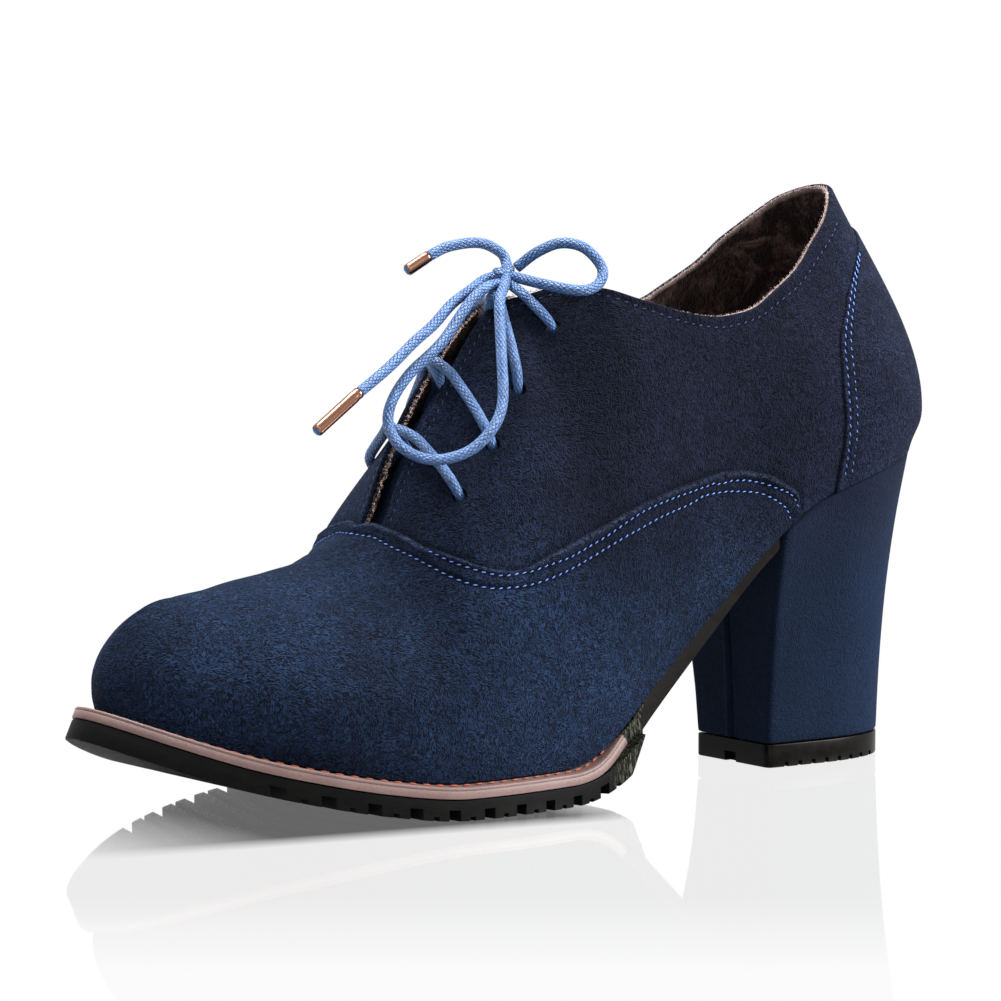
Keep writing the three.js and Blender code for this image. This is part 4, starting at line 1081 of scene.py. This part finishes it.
# Tongue
# A suede strip sewn in under the facings, flat and a little narrower than the throat. The
# lace crosses it.
TONGUE_THICKNESS, TONGUE_DROP, TONGUE_FLATTEN = 2.0, 5.4, 0.86
tongue_rings = []
for u in np.linspace(0.270, 0.480, 60):
    ends = [outline(u + d, 1.0) for d in (-0.01, 0.01)]
    along = (ends[1] - ends[0]) * [1, 0, 1]
    along /= np.linalg.norm(along)
    inward = np.array([-along[2], 0, along[0]])
    inward *= -np.sign(inward[2])
    section = []
    for depth, rows in ((TONGUE_DROP + TONGUE_THICKNESS, np.linspace(0.60, 1, 14)),
                        (TONGUE_DROP, np.linspace(0.60, 1, 14))):
        line = outline(u, rows) + inward * depth
        half = line * [1, TONGUE_FLATTEN, 1]
        other = half * [1, -1, 1]
        layer = np.vstack([half, other[::-1]])
        section.append(bend(layer if depth == TONGUE_DROP else layer[::-1]))
    tongue_rings.append(np.vstack(section))
tongue = piece("tongue_strip", [solid(tongue_rings)], SUEDE, ["tongue"])
weld(tongue)

# Stitching
# Waxed thread in rows: bright blue on the vamp's edge and the back strip, navy round the
# collar and the facings. Each stitch is a slanted grain of thread sunk into its hole.
THREAD_BRIGHT = Shader("bright thread", base_color=(*rgb(84, 118, 200), 1), roughness=0.6).material
THREAD_NAVY = Shader("navy thread", base_color=(*rgb(24, 34, 78), 1), roughness=0.8).material

seam = Nodes("stitches", pitch=0.002, length=0.00112, thickness=0.00031, slant=0.3)
line = seam.node("GeometryNodeMeshToCurve", Mesh=seam.get())
cut_line = seam.node("GeometryNodeResampleCurve", {"mode": "LENGTH"}, Curve=line.outputs[0],
                     Length=seam.get("pitch"))
grain = seam.node("GeometryNodeMeshUVSphere", Segments=8, Rings=5, Radius=0.5)
size = seam.node("ShaderNodeCombineXYZ", X=seam.get("thickness"), Y=seam.get("thickness"),
                 Z=seam.get("length"))
shaped = seam.node("GeometryNodeTransform", Geometry=grain.outputs[0], Scale=size.outputs[0])
tangent = seam.node("GeometryNodeInputTangent")
outward = seam.node("GeometryNodeInputNamedAttribute", {"data_type": "FLOAT_VECTOR"}, Name="outward")
tilted = seam.node("ShaderNodeVectorRotate", {"rotation_type": "AXIS_ANGLE"}, Vector=tangent.outputs[0],
                   Axis=outward.outputs[0], Angle=seam.get("slant"))
aim = seam.node("FunctionNodeAlignRotationToVector", {"axis": "Z"}, Vector=tilted.outputs[0])
sewn = seam.node("GeometryNodeInstanceOnPoints", Points=cut_line.outputs[0], Instance=shaped.outputs[0],
                 Rotation=aim.outputs[0])


def stitch_rows(name, lines, material, slot, node, **sizes):
    """lines are pairs of points on the surface and directions away from it."""
    mesh = bpy.data.meshes.new(name)
    vertices = np.vstack([p for p, _ in lines])
    edges, base = [], 0
    for p, _ in lines:
        edges += [(base + i, base + i + 1) for i in range(len(p) - 1)]
        base += len(p)
    mesh.from_pydata(metres(vertices).tolist(), edges, [])
    layer = mesh.attributes.new("outward", "FLOAT_VECTOR", "POINT")
    layer.data.foreach_set("vector", np.vstack([o for _, o in lines]).ravel())
    obj = bpy.data.objects.new(name, mesh)
    bpy.context.scene.collection.objects.link(obj)
    seam.painted.inputs["Material"].default_value = material
    seam.apply(obj, **sizes)
    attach(obj, "root")
    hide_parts(node)
    return obj


seam.finish(sewn.outputs[0], THREAD_BRIGHT)


def wall_line(places, side, offset):
    """A line of places on the wall and the directions away from it."""
    low, high = (on_wall(places, side, o) for o in (offset, offset + 1))
    return low, high - low


ON_OVERLAY = OVERLAY - SKIN - 0.30
ON_QUARTER = -SKIN - 0.18
vamp_rows = [wall_line(r, side, ON_OVERLAY + raised)
             for r, raised in ((VAMP_LOWER_ROW, 0), (VAMP_UPPER_ROW, 0.18)) for side in SIDES]
stitch_rows("vamp_stitches", vamp_rows, THREAD_BRIGHT, "suede", "upper", slant=0.25)
strip_rows = [wall_line([(a + back, b) for a, b in STRIP_ROW], side, ON_OVERLAY + 0.05)
              for back in (0, STRIP_ROW_STEP) for side in SIDES]
stitch_rows("strip_stitches", strip_rows, THREAD_BRIGHT, "suede", "upper", slant=0.35)
edge_rows = [wall_line(r, side, ON_QUARTER) for side in SIDES for r in (TOPLINE_ROW, facing_row(side))]
stitch_rows("edge_stitches", edge_rows, THREAD_NAVY, "suede", "upper", slant=0.2, pitch=0.0023)

# Lacing
# The lace comes up through an eyelet, lies over its facing, crosses the throat and dives
# under the other facing. The last pair of runs goes on to the knot.
UNDER = -SKIN - WALL - LACE / 2 - 0.1
OVER = LACE / 2 + 2 * CLEARANCE - SKIN
# where the runs leave the outer facing's edge, along the feather line
MEETS = (0.364, 0.405, 0.468, 0.490)


def facing_run(hole, meet, side, last):
    """The lace from one eyelet to the throat, or to the knot."""
    u, v = eyelet(hole, side)
    top = float(top_edge(np.array(meet), side))
    way = [(u + (meet - u) * t, v + (top - v) * t) for t in (0, 0.06, 0.18, 0.4, 0.7, 0.95)]
    rise = (-5.5, -2.8, -0.5, OVER - 0.4, OVER, OVER + 0.15, OVER + (0.35 if side > 0 else 0.05))
    points = [wall(*way[0], side, rise[0]), wall(*way[0], side, rise[1]), wall(*way[1], side, rise[2])]
    points += [wall(*place, side, r) for place, r in zip(way[2:], rise[3:])]
    edge = wall(meet - 0.002, 1.0, 1, OVER)
    if last:
        points += [points[-1] * 0.5 + KNOT * 0.5 + [0, 0, -0.4], KNOT + [0, 0, -0.8]]
    elif side > 0:
        points += [edge - [0, 0, 1.2], wall(meet - 0.003, 0.95, -1, UNDER),
                   wall(meet - 0.003, 0.86, -1, UNDER)]
    else:
        near_top = float(top_edge(np.array(meet), 1))
        points += [edge - [0, 0, 1.7], wall(meet - 0.008, near_top, 1, -1.6),
                   wall(meet - 0.006, near_top - 0.05, 1, UNDER - 0.3),
                   wall(meet - 0.004, near_top - 0.12, 1, UNDER)]
    path = smooth_path(points, 0.7)
    gone = np.linalg.norm(path - wall(u, v, side, 0), axis=1)
    return tube(path, LACE * (0.98 - 0.12 * hill(gone, 2.2)), 14)


for i, hole in enumerate(EYELETS):
    last = i == len(EYELETS) - 1
    runs = [facing_run(hole, MEETS[i], side, last) for side in SIDES]
    piece(f"lace_crossing_{i + 1}_runs", runs, LACE_BRAID, [f"lace_crossing_{i + 1}"])

# Welt
# A mauve leather strip sewn round the forefoot. Its side is flat with a scored line near the
# top, its ledge carries orange stitches next to the upper, and its ends taper out.
WELT_TIP, WELT_TAPER, WELT_ROW_IN = 0.6, (-4.0, 14.0), 3.1
WELT_STOP = WELT_END * LAST_LENGTH
welt_shader = Shader("welt leather", roughness=0.55, specular_ior_level=0.35)
grain_fine, grain_soft = welt_shader.noise(0.5, 3), welt_shader.noise(11, 2)
wear_and_highlight = ((grain_fine - 0.5) * 0.9 + (grain_soft - 0.5) * 1.2 + 0.5).clamp()
scored = welt_shader.axis(welt_shader.uv, "Y")
line_mask = (scored.step(0.62, 0.66) - scored.step(0.70, 0.74)).clamp()
leather = welt_shader.mix(wear_and_highlight, rgb(93, 71, 68), rgb(118, 95, 91))
welt_shader.color(welt_shader.mix(line_mask * 0.75, leather, rgb(58, 38, 34)))
welt_shader.bump(grain_fine, 0.06)
# profile: reach from the outer edge, depth below the feather line, and its place in the UV map
WELT_PROFILE = [
    (-4.6, 0.5, 0.95), (-3.6, 0.5, 0.95), (-2.7, 0.72, 0.95), (-1.8, 0.5, 0.92), (-0.5, 0.5, 0.9),
    (-0.12, 0.62, 0.85), (0.0, 0.85, 0.8), (0.0, 1.15, 0.76), (-0.1, 1.25, 0.72), (-0.1, 1.35, 0.68),
    (0.0, 1.45, 0.6), (0.0, 3.0, 0.1), (-0.15, 3.25, 0.05), (-0.5, 3.3, 0.0),
]


def welt_reach(x):
    """How far the ledge stands out at x: its ends taper."""
    full = smoothstep(x, WELT_STOP + WELT_TAPER[0], WELT_STOP + WELT_TAPER[1])
    return WELT_TIP + (WELT_LEDGE - WELT_TIP) * full


half = np.linspace(0, place_at(WELT_STOP), 120)
around = [(u, -1) for u in half[:0:-1]] + [(u, 1) for u in half]
rings, marks = [], []
for u, side in around:
    x = float(x_at(u))
    ledge = float(welt_reach(x))
    reach = [-WELT_LAP] + [max(ledge + g, -WELT_LAP + 0.2) for g, _, _ in WELT_PROFILE] + [-WELT_LAP]
    depth = [SEAT_GAP] + [d for _, d, _ in WELT_PROFILE] + [SEAT_GAP + WELT_THICKNESS]
    edge = feather(np.full(len(reach), u), reach)
    rings.append(below(edge[:, 0], side * edge[:, 1], np.array(depth)))
    marks = [0.95] + [m for _, _, m in WELT_PROFILE] + [0.0]
points, n = np.vstack(rings), len(rings[0])
faces = bands(len(rings), n)
faces += [tuple(range(n)), tuple(range((len(rings) - 1) * n, len(rings) * n))[::-1]]
welt = piece("welt_strip", [(points, faces, [[(0, marks[i % n]) for i in face] for face in faces])],
             welt_shader.material, ["welt"])
weld(welt)
welt.data.set_sharp_from_angle(angle=1.0)

THREAD_ORANGE = Shader("orange thread", base_color=(*rgb(138, 60, 28), 1), roughness=0.7).material
welt_lines = []
for side in SIDES:
    us = np.linspace(0.004, place_at(WELT_STOP + 6), 240)
    x = x_at(us)
    edge = feather(us, np.maximum(welt_reach(x) - WELT_ROW_IN, 0.1))
    low, high = (below(edge[:, 0], side * edge[:, 1], np.full(len(us), d)) for d in (0.42, -0.58))
    welt_lines.append((low, high - low))
stitch_rows("welt_stitches", welt_lines, THREAD_ORANGE, "welt", "welt", pitch=0.0034, length=0.0022,
            thickness=0.0005, slant=0.12)

# Outsole
# Moulded black rubber: a plate whose chevron lugs stand on the floor, its end rough from the
# mould, and a smooth strip that goes on under the arch to the heel's breast.
LUG_DEPTH, LUG_LENGTH, LUG_PITCH, LUG_CHEVRON = 2.6, 6.4, 9.4, 7.0
OUTSOLE_INSET, OUTSOLE_BEHIND, OUTSOLE_SLANT, TOE_BLOCK = 0.2, 0.9, 7.2, 0.93
END_STEP, END_REACH = -1.6, 8.5
SOLE_DEPTH = SEAT_GAP + WELT_THICKNESS + CLEARANCE
FLOOR_DEPTH = SOLE_DEPTH + OUTSOLE_THICKNESS
SOLE_START = WELT_STOP - OUTSOLE_BEHIND
BREAST = 0.243
BREAST_X = BREAST * LAST_LENGTH


def rubber(name, dark, light, rough, grain_depth):
    """Dull rubber with a fine speck and soft smears."""
    shader = Shader(name, roughness=rough, specular_ior_level=0.05)
    speck, smear = shader.noise(0.6, 3), shader.noise(6, 3, (1, 1, 0.4), 0.8)
    shader.color(shader.mix(((speck - 0.5) * 1.0 + (smear - 0.5) * 1.6 + 0.4).clamp(), dark, light))
    shader.bump(speck, grain_depth)
    return shader


sole_shader = rubber("outsole rubber", rgb(2, 2, 2), rgb(11, 11, 10), 0.6, 0.05)
x_place = sole_shader.axis(sole_shader.place, "X") - (SOLE_START + ORIGIN[0])
streak = sole_shader.noise(0.9, 3, (0.6, 0.6, 3.0), 1.2)
rough_end = (1 - x_place.step(3.0, 8.0)) * ((streak - 0.44) * 6).clamp()
y_place = sole_shader.axis(sole_shader.place, "Y")
zigzag = ((y_place / 3.2).fract() - 0.5).abs() * 2
tread = (((sole_shader.axis(sole_shader.place, "X") + zigzag * 1.6) / 1.3).fract() - 0.5).abs() * 2
normal_z = sole_shader.axis(sole_shader.node("NewGeometry").outputs["Normal"], "Z")
facing_down = (-normal_z).step(0.6, 0.8)
base_color = sole_shader.base.inputs["Base Color"].links[0].from_socket
sole_shader.color(sole_shader.mix((rough_end * 0.8).clamp(), base_color, rgb(84, 86, 74)))
sole_shader.bump(sole_shader.noise(0.6, 3) * 0.1 + rough_end * 1.2 + facing_down * tread * 1.0, 0.35)

forefoot_count = 110
rings = []
for inset, depth in (
        (3.0, FLOOR_DEPTH), (0.4, FLOOR_DEPTH), (0.08, FLOOR_DEPTH - 0.12), (0, FLOOR_DEPTH - 0.45),
        (0, SOLE_DEPTH + 0.3), (0.12, SOLE_DEPTH), (6, SOLE_DEPTH)):
    drop = (depth - SOLE_DEPTH) / OUTSOLE_THICKNESS
    us = np.linspace(0, place_at(SOLE_START + OUTSOLE_SLANT * drop + END_STEP), forefoot_count)
    rings.append(level(us, WELT_LEDGE - OUTSOLE_INSET - inset, depth))
end_us = np.linspace(place_at(WELT_STOP + 1), place_at(WELT_STOP - END_REACH), 40)
end_x = x_at(end_us)
grown = smoothstep(end_x, WELT_STOP - END_REACH, WELT_STOP - END_REACH + 6)
end_rings = [level(end_us, 0.55 * grown - 0.2 - inset, SEAT_GAP + 0.1 + (0.3 + 6.2 * grown) * share)
             for share, inset in ((1, 0.7), (0.9, 0.1), (0.5, 0), (0, 0))]
ragged = [level_ring + ripple(level_ring, 0.9, 0.22)[:, None] * [0.6, 0.6, 1.0] for level_ring in end_rings]
outsole = piece("outsole_plate", [solid(rings)], sole_shader.material, ["outsole"])
weld(outsole)
sole_end = piece("outsole_ragged_end", [solid(ragged)], sole_shader.material, ["outsole"])
weld(sole_end, 0.001)
sole_end.data.set_sharp_from_angle(angle=0.7)


def under_surface(x, depth):
    """Height of the sole's underside at some depth, where it passes x."""
    at = np.array(x, float)
    for _ in range(4):
        slope = feather_height(at + 0.5) - feather_height(at - 0.5)
        at = x - slope * depth / np.hypot(1, slope)
    return feather_height(at) - depth / np.hypot(1, slope)


def groove(back, front, depth):
    """A V-shaped channel across the underside, its point to the toe."""
    ys = np.linspace(-BALL_WIDTH / 2 - 12, BALL_WIDTH / 2 + 12, 61)
    lead = abs(ys) * LUG_CHEVRON / (BALL_WIDTH / 2)
    rings = []
    for y, shift in zip(ys, lead):
        xs = np.array([back, front]) - shift
        top = under_surface(xs, depth)
        centre = swing(xs)
        rings.append([(xs[0], y + centre[0], top[0]), (xs[1], y + centre[1], top[1]),
                      (xs[1], y + centre[1], -9.0), (xs[0], y + centre[0], -9.0)])
    return solid(np.array(rings))


toe_end = TOE_BLOCK * LAST_LENGTH
grooves = []
for i in range(int((toe_end - LUG_CHEVRON - SOLE_START) / LUG_PITCH)):
    front = toe_end - i * LUG_PITCH
    grooves.append(groove(front - (LUG_PITCH - LUG_LENGTH), front, FLOOR_DEPTH - LUG_DEPTH))
    middle = front - (LUG_PITCH - LUG_LENGTH) - LUG_LENGTH / 2
    grooves.append(groove(middle - 0.7, middle + 0.7, FLOOR_DEPTH - 1.0))
punch(outsole, grooves, 0.7)

SHANK_THICKNESS, SHANK_INSET = (3.0, 4.8), (1.6, 0.3)
shank_front, shank_end = WELT_STOP - 2 * CLEARANCE, BREAST_X + 2 * CLEARANCE
shank_shader = rubber("shank rubber", rgb(7, 6, 5), rgb(20, 17, 15), 0.5, 0.04)
rings = []
for share, inset in ((1, 0.4), (0.95, 0.1), (0.8, 0), (0.15, 0), (0, 0.1)):
    us = np.linspace(place_at(shank_front), place_at(shank_end), 60)
    x = x_at(us)
    forward = smoothstep(x, BREAST_X, shank_front)
    thick = SHANK_THICKNESS[0] + (SHANK_THICKNESS[1] - SHANK_THICKNESS[0]) * forward
    grow = -(SHANK_INSET[0] + (SHANK_INSET[1] - SHANK_INSET[0]) * forward) - inset
    edge = feather(us, grow)
    outer, inner = (below(edge[:, 0], sign * edge[:, 1], SEAT_GAP + thick * share) for sign in SIDES)
    for line in (outer, inner):
        line[:, 0] = np.maximum(line[:, 0], shank_end)
    rings.append(np.vstack([outer, inner[::-1]]))
filling_us = np.linspace(0, place_at(WELT_STOP - 6), 80)
filling = [level(filling_us, -WELT_LAP - CLEARANCE, depth)
           for depth in (SOLE_DEPTH + CLEARANCE, SEAT_GAP + 0.2)]
shank = piece("shank_strip", [solid(rings), solid(filling)], shank_shader.material, ["outsole"])
weld(shank, 0.001)
shank.data.set_sharp_from_angle(angle=0.8)

# Heel
# A block covered in the same suede, darkened with painted shade, flared to the heel seat. The
# cover's ends meet in a seam down the breast, one lapped a little over the other.
HEEL_FLARE = [(0, 0), (0.25, 0.11), (0.5, 0.3), (0.75, 0.6), (1, 1)]
HEEL_BASE_LENGTH, HEEL_BASE_WIDTH, HEEL_PITCH, LIFT_THICKNESS = 43.2, 29.2, 5.6, 5.7
heel_back = SECTIONS[-1, 0] / 100 * LAST_LENGTH
flare = curve([a for a, _ in HEEL_FLARE], [b for _, b in HEEL_FLARE])
heel_us = np.linspace(place_at(BREAST_X), 1, 70)
heel_top = feather(heel_us, np.zeros(len(heel_us)))
HEEL_RING = 240


def heel_ring(share, height, inset=0.0, seam=True):
    """One closed section of the heel: its corners rounded, its seam pressed into the breast."""
    grown = float(flare(share))
    along = (heel_top[:, 0] - heel_back) / (BREAST_X - heel_back)
    x = (heel_back + HEEL_PITCH + along * HEEL_BASE_LENGTH) * (1 - grown) + heel_top[:, 0] * grown
    y = heel_top[:, 1] * (HEEL_BASE_WIDTH / (2 * heel_top[0, 1]) * (1 - grown) + grown)
    z = np.array([height(t) for t in heel_top[:, 0]])
    outer = np.stack([x, y, z], -1)
    inner = outer[::-1][1:] * [1, -1, 1]
    breast = np.linspace(inner[-1], outer[0], 40)[1:]
    ring = np.vstack([outer, inner, breast[:-1]])
    closed = np.vstack([ring, ring[:1]])
    run = run_along(closed)
    even = np.linspace(0, run[-1], HEEL_RING, endpoint=False)
    ring = np.column_stack([np.interp(even, run, closed[:, k]) for k in range(3)])
    soften = 5
    kernel = hill(np.linspace(-1.8, 1.8, 2 * soften + 1), 1)
    kernel /= kernel.sum()
    for k in (0, 1):
        wide = np.concatenate([ring[-soften:, k], ring[:, k], ring[:soften, k]])
        ring[:, k] = np.convolve(wide, kernel, "valid")
    middle = ring[:, :2].mean(axis=0)
    away = ring[:, :2] - middle
    away /= np.linalg.norm(away, axis=1)[:, None]
    ring[:, :2] -= away * inset
    if seam:
        on_breast = ring[:, 0] > ring[:, 0].max() - 0.8
        y = ring[:, 1]
        press = 1.1 * hill(y - 0.1, 0.45) - 0.45 * hill(y + 1.1, 0.9)
        ring[:, 0] -= np.where(on_breast, press, 0)
    return ring


def ring_solid(rings):
    """A closed mesh through rings, its ends filled by fans."""
    n = len(rings[0])
    points = np.vstack([*rings, rings[0].mean(axis=0)[None], rings[-1].mean(axis=0)[None]])
    faces = bands(len(rings), n)
    low, high = len(points) - 2, len(points) - 1
    faces += [(low, (k + 1) % n, k) for k in range(n)]
    faces += [(high, (len(rings) - 1) * n + k, (len(rings) - 1) * n + (k + 1) % n) for k in range(n)]
    return points, faces


heel_base = LIFT_THICKNESS + CLEARANCE


def heel_height(share):
    return lambda x: heel_base * (1 - share) + (float(feather_height(x)) - SEAT_GAP) * share


rings = [heel_ring(0, lambda x: heel_base, 0.7), heel_ring(0, lambda x: heel_base + 0.12, 0.25),
         heel_ring(0.004, heel_height(0.008), 0.0)]
rings += [heel_ring(share, heel_height(share)) for share in np.linspace(0.03, 1, 40)]
heel = piece("heel_cover", [ring_solid(rings)], HEEL_SUEDE, ["heel"])
weld(heel, 0.001)

# Top lift
# A hard rubber cap nailed under the heel, in the heel's own outline. It is grooved across
# its tread and notched in front.
LIFT_GROOVE, LIFT_PITCH = 1.2, 4.2
LIFT_PROFILE = ((0, 0.35), (0.12, 0.1), (0.4, 0), (5.4, 0), (5.62, 0.12), (5.7, 0.4))
NOTCH = ((-2.0, -2.9, -1), (5, 1.6, 2.5))
lift_shader = rubber("top lift rubber", rgb(6, 5, 5), rgb(18, 17, 15), 0.3, 0.02)
rings = [heel_ring(0, lambda x, z=z: z, inset, seam=False) for z, inset in LIFT_PROFILE]
lift = piece("lift_cap", [ring_solid(rings)], lift_shader.material, ["top_lift"])
weld(lift, 0.001)
lift_front = heel_back + HEEL_PITCH + HEEL_BASE_LENGTH


def block(low, high):
    x, y, z = zip(low, high)
    return solid(np.array([[(a, y[0], z[0]), (a, y[1], z[0]), (a, y[1], z[1]), (a, y[0], z[1])] for a in x]))


tools = [block((lift_front - LIFT_PITCH * (i + 1.5), -HEEL_BASE_WIDTH, -1),
               (lift_front - LIFT_PITCH * (i + 1.5) + LIFT_GROOVE, HEEL_BASE_WIDTH, LIFT_GROOVE))
         for i in range(int((HEEL_BASE_LENGTH - 2 * LIFT_PITCH) / LIFT_PITCH))]
tools.append(block(*((lift_front + x, y, z) for x, y, z in NOTCH)))
punch(lift, tools, 0.6)
